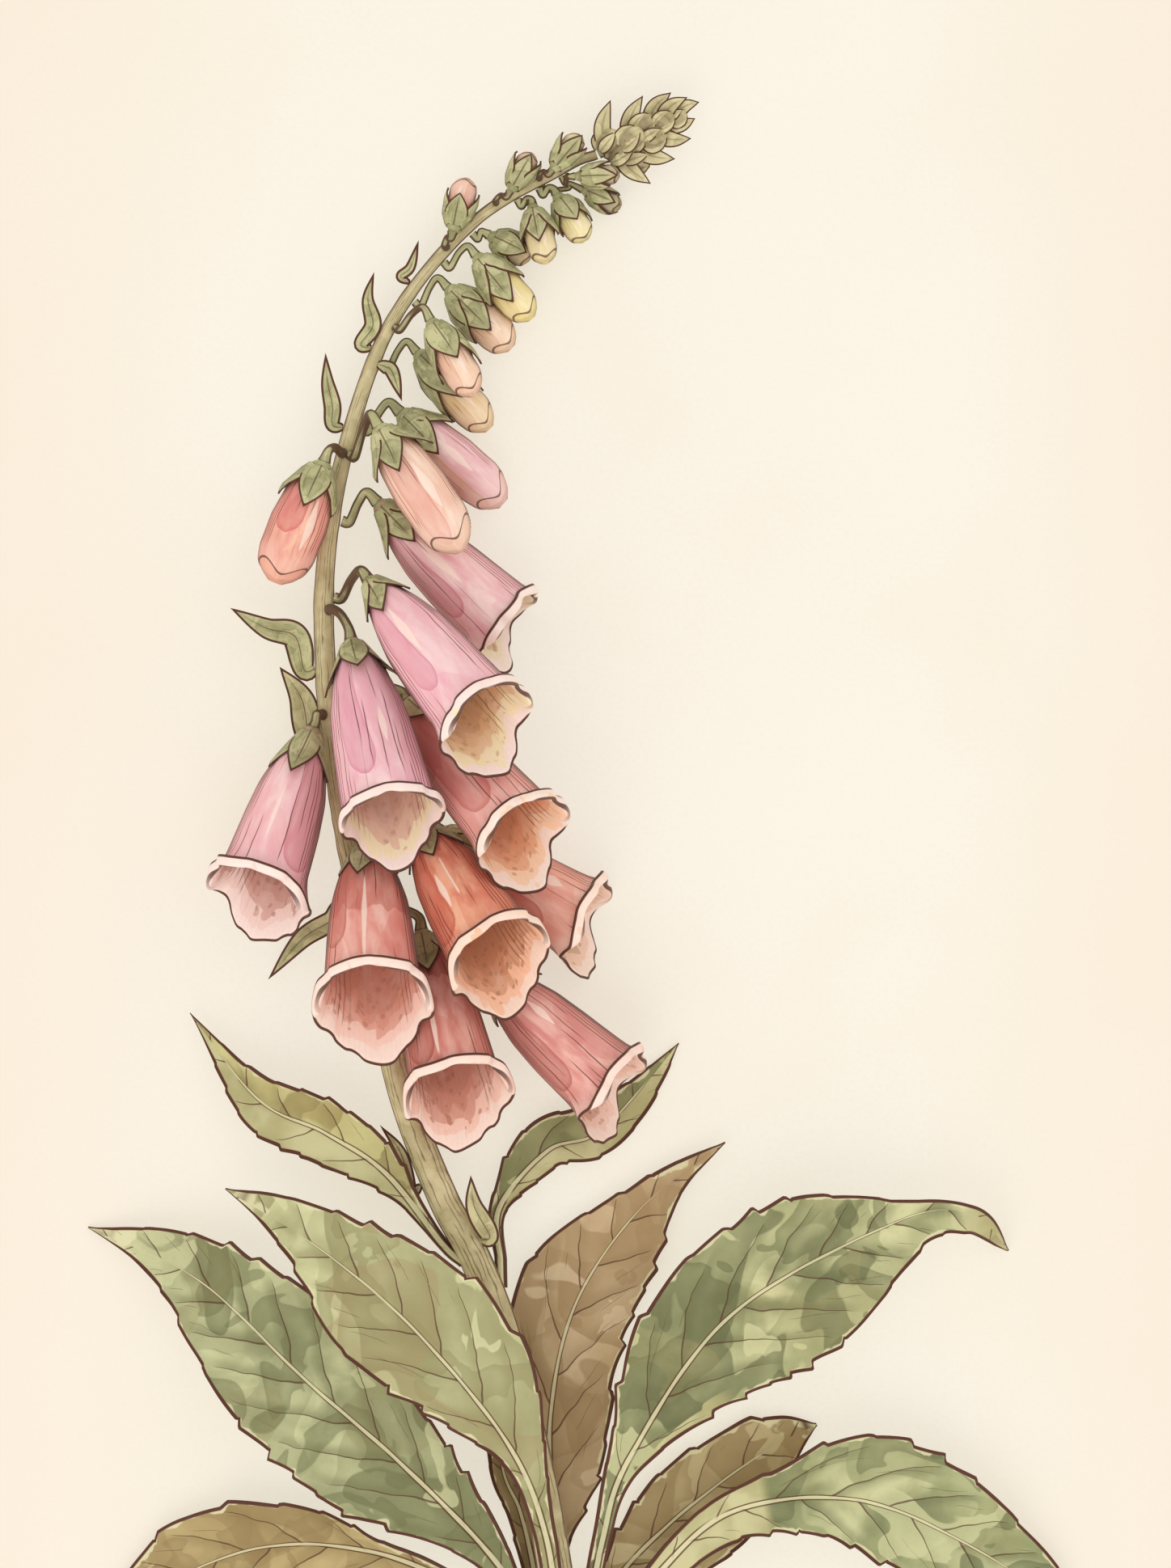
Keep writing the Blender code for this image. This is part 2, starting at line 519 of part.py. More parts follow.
def build_tip_cluster():
    path = smooth_path(TIP_LINE, 6)
    rings = []
    for k, (side, up) in enumerate(carried_frames(path, UP)):
        rings.append(circle(path[k], side, up, profile(TIP_RADIUS, k / 5), 8))
    cluster = closed_body("tip_cluster", path[0], rings, path[-1], SAGE)
    for k, (centre, radius) in enumerate(TIP_BUDS):
        unite(cluster, young_bud("young_bud_%d" % k, centre, radius))
    for k, (base, tip, half_width) in enumerate(TIP_BRACTS):
        middle = (np.array(base) + np.array(tip)) / 2 + np.array([0.0, 0.0, 0.6])
        unite(cluster, bract_body("young_bract_%d" % k, [base, middle, tip], half_width, SAGE))


def build_all():
    clear_scene()
    build_stem()
    for letter, (base, mouth, roll, tube, rim, place, _) in BELLS.items():
        build_bell(letter)
        length = Flower(base, mouth, roll).length
        build_calyx(letter, base, mouth, roll, lambda a: bell_radius(a / length, tube, rim), place)
    for letter, (base, tip, radius, place, _) in LARGE_BUDS.items():
        build_large_bud(letter)
        build_calyx(letter, base, tip, 0, bud_width(Flower(base, tip, 0), radius), place)
    for letter in BUDS:
        build_bud(letter)
    build_tip_cluster()
    for letter in LEAVES:
        build_lower_leaf(letter)
    for which in STEM_LEAVES:
        build_stem_leaf(which)
    for letter in BRACTS:
        build_bract(letter)


build_all()
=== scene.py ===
import json
import math

import bpy
import numpy as np
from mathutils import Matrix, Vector


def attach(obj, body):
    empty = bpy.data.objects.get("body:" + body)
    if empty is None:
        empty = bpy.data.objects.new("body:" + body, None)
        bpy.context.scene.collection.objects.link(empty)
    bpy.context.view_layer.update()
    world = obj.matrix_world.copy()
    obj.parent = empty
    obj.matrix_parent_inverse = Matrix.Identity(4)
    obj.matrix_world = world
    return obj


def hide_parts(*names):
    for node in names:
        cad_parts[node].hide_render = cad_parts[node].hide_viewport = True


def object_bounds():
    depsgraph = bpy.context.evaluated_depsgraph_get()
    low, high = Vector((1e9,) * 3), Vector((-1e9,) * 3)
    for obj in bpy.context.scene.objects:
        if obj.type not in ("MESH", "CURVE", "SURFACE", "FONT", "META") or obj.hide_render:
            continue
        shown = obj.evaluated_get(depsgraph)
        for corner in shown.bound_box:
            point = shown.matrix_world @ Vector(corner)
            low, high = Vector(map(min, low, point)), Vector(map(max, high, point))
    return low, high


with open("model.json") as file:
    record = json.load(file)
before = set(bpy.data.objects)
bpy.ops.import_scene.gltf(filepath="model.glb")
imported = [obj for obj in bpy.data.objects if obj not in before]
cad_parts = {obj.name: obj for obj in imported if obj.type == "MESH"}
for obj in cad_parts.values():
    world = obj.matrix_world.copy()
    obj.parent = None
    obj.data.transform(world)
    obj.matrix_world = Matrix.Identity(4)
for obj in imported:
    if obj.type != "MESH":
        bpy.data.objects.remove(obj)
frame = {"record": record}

# ---------------------------------------------------------------------------------------------
# The plan of the shoot, in millimetres: X to the right, Y towards the tip, Z up from the floor.
# ---------------------------------------------------------------------------------------------
CAD_LOW, CAD_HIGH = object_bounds()
MM = 0.001
PLAN_MIDDLE = np.array([5.006, -0.269, 0.284])
ROW_MIDDLE = np.array([(CAD_LOW[0] + CAD_HIGH[0]) / 2, (CAD_LOW[1] + CAD_HIGH[1]) / 2, CAD_LOW[2]])
UP = np.array([0.0, 0.0, 1.0])

STEM_LINE = [
    (-2, -194.5, 14), (-4, -174.5, 14), (-8.5, -148.5, 13.5), (-16, -116.5, 12.5), (-24, -94.5, 11.5),
    (-32.5, -78.5, 10.5), (-42.5, -52.5, 9.5), (-49, -22.5, 9), (-56.5, 13.5, 9), (-61, 45.5, 9),
    (-61.5, 77.5, 8.5), (-56, 108.5, 8.5), (-44.5, 139, 8), (-24.5, 163, 7.5), (-2, 176.5, 7),
    (5.5, 179.5, 7),
]
STEM_RADIUS = [(0, 4.5), (0.25, 4.0), (0.5, 3.2), (0.75, 2.1), (0.9, 1.5), (1, 1.3)]
GAP = 0.3

# Bells: base, mouth, roll of the short lip, tube and rim radius, place of the stalk on the stem
BELLS = {
    "a": ((-37.5, -13.5, 13), (-28, -54.5, 27), 5, 10.0, 13.2, (-9, 0)),
    "b": ((-22, -22.5, 13), (9.5, -51, 19), 60, 9.3, 12.8, (-15, -40)),
    "c": ((-51, 9, 17), (-48.5, -31, 39), 0, 10.6, 14.0, (15, 75)),
    "d": ((-38, 13, 20), (-17.5, -20, 38), 20, 10.0, 13.0, (20, 35)),
    "e": ((-32.5, 11.5, 10), (3, -10.5, 12.6), 60, 9.0, 12.6, (8, -35)),
    "f": ((-40.5, 43.5, 12.5), (-12.5, 11, 37), 35, 9.8, 12.8, (48, 0)),
    "g": ((-54.5, 58, 20.7), (-44, 15.5, 42.8), 5, 10.4, 12.4, (67, 60)),
    "h": ((-64.5, 36.5, 15), (-77.5, -4, 26), -20, 9.5, 13.0, (41, 120)),
    "i": ((-50, 73, 21), (-21, 38.5, 48), 35, 9.6, 12.4, (70, 20)),
    "j": ((-48, 92.5, 11), (-17, 63.5, 11.7), 50, 8.8, 11.4, (89, 0)),
}
TUBE_PROFILE = [(0, 0.2), (0.05, 0.32), (0.12, 0.46), (0.25, 0.68), (0.4, 0.86), (0.6, 0.97), (0.8, 1.04),
                (1, 1.1)]
# Lips of the bells. NECK: where the lip starts, as a share of the bell's length, and LIP_START: the same
# as a share of the rows. LIP_BACK: how many mm the upper lip stands back towards the base. The other two:
# how a lip rolls over, as its reach forward and outward at shares of the way to its edge
NECK = 0.84
LIP_START = 0.72
LIP_BACK = {"a": 6.5, "b": 0.8, "c": 5.6, "d": 5.0, "e": 1.5, "f": 1.0, "g": 1.0, "h": 3.8, "i": 1.0,
            "j": 0.0}
LIP_FORWARD = [(0, 0), (0.3, 0.42), (0.55, 0.80), (0.72, 1.0), (0.85, 0.92), (1, 0.66)]
LIP_OUTWARD = [(0, 0), (0.3, 0.13), (0.55, 0.38), (0.72, 0.68), (0.85, 0.92), (1, 1.06)]
PETAL_HALF = 0.33

# Closed buds: base, tip, largest radius, place of the stalk on the stem
LARGE_BUDS = {
    "k": ((-47.5, 110.5, 21), (-27.5, 80.5, 26), 7.0, (105, 50)),
    "l": ((-42.5, 115, 8.5), (-17.5, 93, 6.7), 6.3, (112.5, 0)),
    "m": ((-61.8, 102, 17), (-73.5, 73, 19), 7.2, (105, 100)),
}
BUDS = {
    "n": ((-35, 137, 16), (-24.5, 119, 18), 4.6, (137.5, 45)),
    "o": ((-38.5, 130, 7), (-21, 111.5, 6.5), 5.0, (128, -15)),
    "p": ((-30.8, 146, 7.5), (-15.5, 131.5, 6.5), 5.0, (144, -8)),
    "q": ((-23.8, 153.7, 9.3), (-10.5, 138.5, 10.3), 4.7, (154, 10)),
    "r": ((-10.2, 166, 9.5), (-7, 152, 12.5), 3.7, (169.5, 10)),
    "s": ((-20.5, 159.2, 7), (-10.8, 154, 5), 3.6, (161, 0)),
    "t": ((-4, 169, 7.5), (2.8, 158, 7), 3.7, (172.5, 0)),
    "u": ((-29.8, 160.4, 12.8), (-26.5, 173.2, 10), 3.4, (156.5, 100)),
    "v": ((-15.5, 170.4, 12.2), (-10.5, 179.5, 9.5), 2.8, (167, 100)),
    "w": ((-5, 175.6, 12.0), (1.5, 184, 9.5), 2.8, (173.2, 100)),
    "x": ((1, 173.8, 10), (11.3, 174.3, 9.5), 2.6, (175.3, 10)),
    "y": ((2.8, 170.8, 4.2), (11.6, 166.8, 4.2), 2.6, (173.2, -50)),
}
CLOSED_PROFILE = [(0, 0.3), (0.08, 0.55), (0.25, 0.86), (0.5, 1.0), (0.75, 0.97), (0.88, 0.82), (0.96, 0.55),
                  (1, 0.2)]
BUD_PROFILE = [(0, 0.3), (0.08, 0.55), (0.25, 0.88), (0.55, 1.0), (0.8, 0.88), (0.93, 0.55), (1, 0.12)]
STALK_ARCHES = {"b": (-36, -17.5, 4.2), "y": (-1.5, 171.5, 3.9)}

# Lower leaves: angle of the stalk round the stem foot, points along the midrib (x, y, z), then the
# outline to the left and to the right of it (share of the length, distance from the midrib)
LEAVES = {
    "a": (150, [(-18.5, -169, 15), (-41.5, -144.5, 18), (-66, -123, 18), (-93, -99, 11), (-121, -87, 1.0)],
          [(0, 2), (0.14, 2.8), (0.22, 5), (0.31, 11.4), (0.4, 19), (0.51, 21), (0.64, 18.6), (0.775, 12.5),
           (0.82, 8.5), (0.9, 3.4), (0.95, 1.3), (1, 0)],
          [(0, 2), (0.14, 2.2), (0.22, 6.3), (0.31, 10), (0.4, 13), (0.51, 16), (0.64, 17), (0.775, 12.9),
           (0.82, 10.3), (0.9, 6.8), (0.95, 3.5), (1, 0)]),
    "b": (95, [(-7, -160, 24), (-16.5, -137, 27), (-39.5, -109, 28), (-62.5, -90, 24), (-86, -76.5, 13)],
          [(0, 2), (0.17, 3), (0.26, 3), (0.32, 3), (0.385, 4.5), (0.44, 9), (0.575, 14.7), (0.7, 16),
           (0.77, 12), (0.83, 7), (0.93, 1.9), (1, 0)],
          [(0, 2), (0.17, 2.2), (0.26, 3.1), (0.32, 5.4), (0.385, 10), (0.44, 16), (0.575, 19.8),
           (0.7, 16.5), (0.83, 9.5), (0.93, 5.2), (1, 0)]),
    "c": (268, [(-4.5, -162, 6.3), (-6, -135, 5), (0, -106.5, 4), (16, -82.5, 4), (37.5, -65.5, 5)],
          [(0, 2), (0.2, 2.2), (0.28, 6), (0.34, 11), (0.43, 14), (0.6, 15), (0.665, 15.4), (0.74, 11),
           (0.82, 6), (0.9, 3.8), (0.95, 2.4), (1, 0)],
          [(0, 2), (0.2, 2.2), (0.28, 10), (0.34, 13.5), (0.43, 15), (0.6, 15), (0.74, 13.5), (0.82, 8.6),
           (0.9, 2.8), (0.95, 1.4), (1, 0)]),
    "d": (42, [(7, -162, 19), (14, -141, 21), (38.5, -106.5, 23), (79.5, -84, 18), (98, -82.5, 14),
               (108, -92.5, 1.2)],
          [(0, 2), (0.2, 2.6), (0.25, 3.2), (0.31, 6.5), (0.41, 15), (0.54, 18.6), (0.655, 17.7),
           (0.72, 13), (0.79, 5.2), (0.83, 2.4), (0.9, 2), (0.96, 2), (1, 0)],
          [(0, 2), (0.2, 2), (0.25, 2.6), (0.31, 5), (0.41, 13), (0.54, 21), (0.655, 21), (0.72, 16.8),
           (0.79, 10), (0.83, 6.7), (0.9, 5.2), (0.96, 3.2), (1, 0)]),
    "e": (312, [(12, -172, 5), (24, -160, 4), (38, -149, 3), (50, -141, 2.5), (60.4, -136, 1.5)],
          [(0, 1.8), (0.2, 2), (0.3, 6), (0.4, 9), (0.55, 12), (0.7, 11.5), (0.85, 9), (0.95, 4.5), (1, 0)],
          [(0, 1.8), (0.16, 2), (0.3, 9), (0.45, 15), (0.6, 16), (0.75, 13), (0.88, 7), (1, 0)]),
    "f": (352, [(17, -175, 13), (38, -156, 16), (69.5, -153, 14), (99.5, -166, 8), (131, -188, 1.0)],
          [(0, 2), (0.14, 2.6), (0.2, 3.7), (0.31, 4.2), (0.41, 6.5), (0.5, 14), (0.575, 18.2), (0.71, 15.4),
           (0.85, 9), (0.95, 3), (1, 0)],
          [(0, 2), (0.14, 3), (0.2, 4.6), (0.31, 7), (0.41, 8), (0.5, 10), (0.575, 13.5), (0.71, 14),
           (0.85, 9), (0.95, 3), (1, 0)]),
    "g": (190, [(-22, -178, 11), (-49.5, -166.5, 10), (-81, -166.5, 7), (-119, -184, 1.0)],
          [(0, 1.8), (0.2, 2), (0.4, 7), (0.55, 11), (0.7, 12), (0.85, 8), (0.95, 3), (1, 0)],
          [(0, 1.8), (0.2, 2), (0.33, 3), (0.41, 3), (0.52, 8.5), (0.605, 11), (0.7, 13), (0.8, 12.5),
           (0.9, 7), (0.96, 3), (1, 0)]),
    "h": (226, [(-10, -172, 3.0), (-13.5, -157.5, 1.3), (-18, -146, 1.0), (-20, -121, 1.0)],
          [(0, 2), (0.2, 2.4), (0.35, 3.2), (0.6, 3.6), (0.8, 3), (1, 0)],
          [(0, 2), (0.2, 2.4), (0.35, 5), (0.6, 8), (0.8, 6), (1, 0)]),
}
LEAF_STALK = 1.9
LEAF_FEET = [(0.5, 0.0), (8.0, 0.6)]

# Stem leaves: place on the stem, midrib points, outline to the left and to the right
STEM_LEAVES = {
    "left": ((-86, 180), [(-46.5, -72.5, 13), (-61.5, -62.5, 14), (-78, -54.5, 11), (-95.5, -33.5, 3)],
             [(0, 1.4), (0.1, 1.4), (0.22, 2.6), (0.32, 5.5), (0.44, 7.5), (0.55, 8), (0.665, 7.2),
              (0.75, 5), (0.83, 3), (0.92, 1.3), (1, 0)],
             [(0, 1.4), (0.1, 1.4), (0.22, 2.6), (0.32, 5.5), (0.44, 7.5), (0.55, 8), (0.665, 7.2),
              (0.75, 5), (0.83, 3), (0.92, 1.3), (1, 0)]),
    "right": ((-95, -15), [(-18.5, -81.5, 6), (-6.5, -67.5, 4.5), (7, -62.5, 2.0), (26, -41, 1.6)],
              [(0, 1.4), (0.12, 1.4), (0.25, 2.5), (0.4, 7), (0.5, 8), (0.65, 8), (0.8, 4), (0.9, 1.8),
               (1, 0)],
              [(0, 1.4), (0.12, 1.4), (0.25, 2), (0.4, 4.5), (0.5, 5), (0.65, 6), (0.8, 5), (0.9, 3),
               (1, 0)]),
}
BRACTS = {
    "a": ((147, 180), [(-40.5, 151.5, 8.5), (-38.5, 158, 9)], 1.1),
    "b": ((131, 180), [(-49.8, 137, 9), (-51, 143.5, 10), (-49.5, 150, 10.5)], 1.8),
    "c": ((111, 180), [(-59.8, 117, 9), (-61, 123, 9.5), (-61.5, 130, 10)], 1.8),
    "d": ((127.5, 40), [(-44.8, 125, 13), (-42.5, 118, 14)], 1.5),
    "e": ((52, 175), [(-69, 60.0, 10), (-76, 62, 11), (-85, 67, 9)], 2.8),
    "f": ((36, 178), [(-67.5, 44.5, 7.5), (-73, 52.5, 6.5)], 3.0),
    "g": ((-6, 180), [(-60.5, -10.5, 7), (-67.5, -15, 6), (-76, -25, 4)], 2.2),
    "h": ((-74, 180), [(-43, -67.5, 10), (-48, -61, 9)], 1.5),
    "i": ((-91, 30), [(-24.6, -80.5, 15), (-25.5, -73, 15)], 2.2),
}
TIP_LINE = [(6.0, 179.8, 7), (14, 184, 7), (22, 187.5, 7), (26.5, 189, 7)]
TIP_BUDS = [
    ((8.6, 182.6, 8), 2.6), ((11.8, 179.6, 7.5), 2.7), ((17.2, 186.6, 8), 2.6), ((19.8, 183.6, 8.5), 2.5),
    ((15.6, 178.6, 6.5), 2.6), ((14.2, 183.2, 10), 2.6), ((22.4, 187.6, 9), 2.2), ((25.6, 188.8, 8), 1.9),
    ((18.5, 184.8, 4.8), 2.5), ((11, 181.4, 4.9), 2.5),
]
TIP_BRACTS = [
    ((7, 181, 7), (9, 193, 7.5), 1.5), ((13, 183, 7), (17, 194, 8), 1.6), ((18, 187, 7), (24, 194.8, 8), 1.5),
    ((21, 187.5, 8), (28, 193.5, 9), 1.4), ((24.5, 188.4, 7), (31, 192.5, 7.5), 1.3),
    ((22, 186.5, 7), (30, 188.5, 7), 1.4), ((19.5, 184.5, 7), (29, 183.5, 7), 1.5),
    ((15, 181, 7), (25, 178.5, 6.5), 1.6), ((10.5, 180, 7), (19, 172.4, 6), 1.6),
]

# The view from above: its centre and height on the plan. The floor: half its side, in metres
VIEW_CENTRE = (2.8, 23.5)
VIEW_HEIGHT = 387.8
FLOOR_HALF = 1.2

# Rows along a body and columns across or round it
STEM_ROWS, STEM_COLUMNS = 420, 48
LEAF_ROWS, LEAF_COLUMNS = 320, 73
BELL_COLUMNS = 144
SEPAL_ROWS, SEPAL_COLUMNS = 40, 21
STALK_ROWS = 44
SEPALS = 5

# Washes: pale, middle and deep tone of the skin, then the deep and the middle tone of the throat. The
# throat tones are set lighter than the throat's own colour: painted light against the shade inside the tube
BELL_TONES = {
    "a": ("F2BBAC", "D07A6C", "AC594D", "C9806A", "F6C4B0"),
    "b": ("F2BBAE", "D98B82", "B9685D", "D08E78", "F8CCB8"),
    "c": ("F8C8BA", "E28C7E", "C2695A", "DC927A", "FDD0C0"),
    "d": ("F3B594", "DC7C62", "C45D47", "CC8A64", "FABE98"),
    "e": ("FACCB8", "EBA08E", "D07F70", "C4A078", "F6CCB4"),
    "f": ("FAD4C8", "EAA298", "CE7A6E", "E8A078", "FDD0A8"),
    "g": ("F7D2D2", "EEB0BA", "DC8DA2", "E4B0A0", "FAE8BC"),
    "h": ("FAD4D2", "F0B2B6", "D98A93", "CE9484", "F9D6CC"),
    "i": ("F9D4D4", "F0B4BC", "DE8FA0", "E6B488", "FAE8B8"),
    "j": ("FADCD6", "EDB2B6", "D5868F", "D8AC80", "F8E8C0"),
    "k": ("FBE2CC", "F1C0AA", "DE9688", "C09A66", "F2D2AE"),
    "l": ("FADCD6", "EEB6BC", "DDAA84", "C09A66", "F2D2AE"),
    "m": ("F6C2A8", "E69888", "D46E6C", "B0704A", "F2BA98"),
}
BUD_TONES = {
    "n": ("F8DCC2", "F0C4A4", "E0A68C"), "o": ("F4DDBA", "EACB9C", "DAB080"),
    "p": ("FAE2C8", "F2CCAA", "E2AC88"), "q": ("F5E6B4", "EAD68C", "DCC074"),
    "r": ("EFE0B4", "E2CE94", "CDB67C"), "s": ("DCCBA0", "C8B284", "AE9A6C"),
    "t": ("F3E9BC", "EADB98", "D6C680"), "u": ("F2CCB4", "EAB49C", "DA9A84"),
    "v": ("DDBF9C", "CBA580", "AE8A66"), "w": ("E6DCAC", "D4C68A", "B8AA70"),
    "x": ("CDBF90", "B4A878", "94885C"), "y": ("BFB688", "A49C6C", "867E54"),
}
# Where the washes of a bell lie. Tongue of deep wash: turn from the top, half width, its end along the
# bell, lean; how far the deep cap comes down; painted highlight streaks: turn, half width, start, end
BELL_WASHES = {
    "a": ((0.75, 0.42, 0.80, -0.2), 0.30, [(0.10, 0.030, 0.30, 0.80)]),
    "b": ((0.85, 0.45, 0.84, -0.1), 0.22, [(-0.30, 0.10, 0.30, 0.55)]),
    "c": ((0.95, 0.35, 0.70, -0.1), 0.50, [(0.02, 0.035, 0.22, 0.86)]),
    "d": ((0.90, 0.50, 0.80, -0.1), 0.24, [(0.25, 0.085, 0.38, 0.66), (-0.10, 0.030, 0.30, 0.62)]),
    "e": ((0.75, 0.40, 0.80, -0.1), 0.30, [(-0.55, 0.14, 0.62, 0.80)]),
    "f": ((0.45, 0.48, 0.86, -0.3), 0.48, [(-0.42, 0.12, 0.52, 0.78)]),
    "g": ((0.72, 0.36, 0.84, -0.55), 0.10, [(-0.42, 0.075, 0.46, 0.70)]),
    "h": ((-0.75, 0.50, 0.84, 0.0), 0.12, [(0.15, 0.050, 0.35, 0.75)]),
    "i": ((0.78, 0.34, 0.80, -0.45), 0.10, [(0.05, 0.11, 0.22, 0.62)]),
    "j": ((0.95, 0.42, 0.80, -0.3), 0.16, [(0.00, 0.12, 0.25, 0.70)]),
    "k": ((0.30, 0.45, 0.95, 0.0), 0.0, [(-0.35, 0.16, 0.30, 0.75)]),
    "l": ((1.00, 0.60, 0.95, 0.0), 0.0, [(-0.20, 0.16, 0.25, 0.70)]),
    "m": ((0.35, 0.50, 0.62, 0.0), 0.0, [(-0.50, 0.14, 0.25, 0.75)]),
}
# Its last entry is a pale streak: a painted highlight.
PLAIN_WASH = ((0.6, 0.4, 0.9, 0.0), 0.0, [(-0.3, 0.14, 0.4, 0.8)])
# Leaves: pale, middle, deep and brown tone, share of brown wash
LEAF_TONES = {
    "a": ("C9C99A", "9FA176", "6B6D44", "8E7E50", 0.25),
    "b": ("D3D3A2", "B5B384", "8E885A", "A08A60", 0.40),
    "c": ("D9C29E", "C0A47C", "A2865C", "9C805A", 0.35),
    "d": ("CFCD9B", "98996A", "5F633C", "B4A26A", 0.15),
    "e": ("CBBB8E", "B09C70", "967F54", "9C8258", 0.35),
    "f": ("CACA99", "909466", "5F653F", "A09660", 0.15),
    "g": ("CFBC86", "B49E6C", "917A4C", "8E764A", 0.40),
    "h": ("B8A67C", "9C865E", "7A6644", "88704A", 0.40),
    "left": ("CFC88C", "AEA268", "84784A", "A08A50", 0.35),
    "right": ("BEBB88", "92905F", "6C6E44", "98905F", 0.15),
}
# Where a leaf turns its paler back up: before and after two shares of its length, and on one side (-1 or 1)
# up to the last share. FLAT is for leaves that don't
PALE_BACK = {"f": (0.40, 2.0, 0, 2.0), "d": (-1.0, 0.885, 1, 0.46), "left": (-1.0, 2.0, -1, 2.0),
             "right": (-1.0, 2.0, 1, 2.0)}
FLAT = (-1.0, 2.0, 0, 2.0)
UNDERSIDE = ("C9C393", "ACA573")
LEAF_CREAM = "DDD7AC"
INK = "552C1A"
# The first of these tones paints highlight streaks on the bells and buds.
# The last of these tones is the deepest in the throat: partly its own colour, partly painted shade.
PAINTED_HIGHLIGHT, LIP_LIGHT, FRINGE, DEEP_THROAT_SHADE = "FFE9DA", "FFF0E2", "FDEADC", "8E4E3C"
GREEN_TONES = ("CBC797", "A6A475", "77774B")
STEM_TONES = ("D8CA9E", "BFAF82", "8E7E54")
YOUNG_TONES = ("DCD2A4", "C4B88A", "9C9062")
BRACT_TONES = ("D6CC9C", "BEB486", "988E60")
STAMEN_TONE = "EFE0B0"
PAPER, PAPER_CLOUD, PAPER_GRAIN, PAPER_SIDE = "FDF7E9", "FCF4E4", "F6EAD5", "FBEAD6"


def linear(code):
    """Linear colour of a hex tone."""
    values = [int(code[k:k + 2], 16) / 255 for k in (0, 2, 4)]
    return tuple(v / 12.92 if v <= 0.04045 else ((v + 0.055) / 1.055) ** 2.4 for v in values) + (1.0,)


def unit(vector):
    return vector / np.linalg.norm(vector)


def rows_unit(vectors):
    return vectors / np.maximum(np.linalg.norm(vectors, axis=-1, keepdims=True), 1e-9)


def smooth_path(points, count):
    """Evenly spaced points on a smooth curve through the given ones."""
    pts = np.array(points, dtype=float)
    ends = np.vstack([2 * pts[0] - pts[1], pts, 2 * pts[-1] - pts[-2]])
    fine = []
    for a, b, c, d in zip(ends[:-3], ends[1:-2], ends[2:-1], ends[3:]):
        for s in np.linspace(0, 1, 40, endpoint=False):
            bend = (2 * a - 5 * b + 4 * c - d) * s * s + (3 * b - a - 3 * c + d) * s ** 3
            fine.append(0.5 * (2 * b + (c - a) * s + bend))
    fine = np.array(fine + [pts[-1]])
    run = np.concatenate([[0], np.cumsum(np.linalg.norm(np.diff(fine, axis=0), axis=1))])
    want = np.linspace(0, run[-1], count)
    return np.column_stack([np.interp(want, run, fine[:, k]) for k in range(3)])


def headings(path):
    return rows_unit(np.gradient(path, axis=0))


def carried_frames(path, first_up):
    """Sideways and upward directions along a path, carried on from the first without twisting."""
    up = first_up
    sides, ups = [], []
    for heading in headings(path):
        up = unit(up - heading * np.dot(up, heading))
        sides.append(np.cross(heading, up))
        ups.append(up)
    return np.array(sides), np.array(ups)


def ramp(value, low, high):
    """Smooth step from 0 at low to 1 at high."""
    part = np.clip((np.asarray(value, dtype=float) - low) / (high - low), 0.0, 1.0)
    return part * part * (3 - 2 * part)


def profile(rows, value):
    """Read a table of (place, size) rows at a place."""
    places, radii = zip(*rows)
    return np.interp(value, places, radii)


STEM_PATH = smooth_path(STEM_LINE, 400)
STEM_HEADINGS = headings(STEM_PATH)


def stem_place(y, around, distance):
    """A point off the stem's surface: at a height along the plan, an angle round the stem and a distance."""
    index = int(np.argmin(np.abs(STEM_PATH[:, 1] - y)))
    heading = STEM_HEADINGS[index]
    right = unit(np.cross(heading, UP))
    top = np.cross(right, heading)
    angle = math.radians(around)
    outward = math.cos(angle) * right + math.sin(angle) * top
    return STEM_PATH[index] + (profile(STEM_RADIUS, index / (len(STEM_PATH) - 1)) + distance) * outward


# ---------------------------------------------------------------------------------------------
# Meshes: every body is a stack of closed rings with an end face on both ends.
# ---------------------------------------------------------------------------------------------
FAR_EDGE = 5.0
NO_BROW = 9.0
# Points under SOFT_FLOOR are pressed together so that none lies under LOWEST, in mm above the floor
SOFT_FLOOR, LOWEST = 0.4, 0.05
NAMES = ("along", "cosine", "sine", "rim", "inside", "edge", "mid", "across", "run", "tube", "brow")


def brow(rings):
    """Level distance, in mm, from each point to the line where its ring turns away from the top."""
    wrapped = np.concatenate([rings[:, -1:], rings, rings[:, :1]], axis=1)
    normal = rows_unit(np.cross(np.gradient(wrapped, axis=1), np.gradient(wrapped, axis=0)))[:, 1:-1]
    centre = rings.mean(axis=1, keepdims=True)
    radius = np.linalg.norm(rings - centre, axis=2)
    rise = np.abs(normal[..., 2])
    far = radius * (1.0 - np.sqrt(np.clip(1.0 - rise ** 2, 0.0, 1.0)))
    outward = normal * np.sign(np.einsum("ijk,ijk->ij", normal, rings - centre))[..., None]
    return np.where(outward[..., 2] < 0.0, NO_BROW, far)


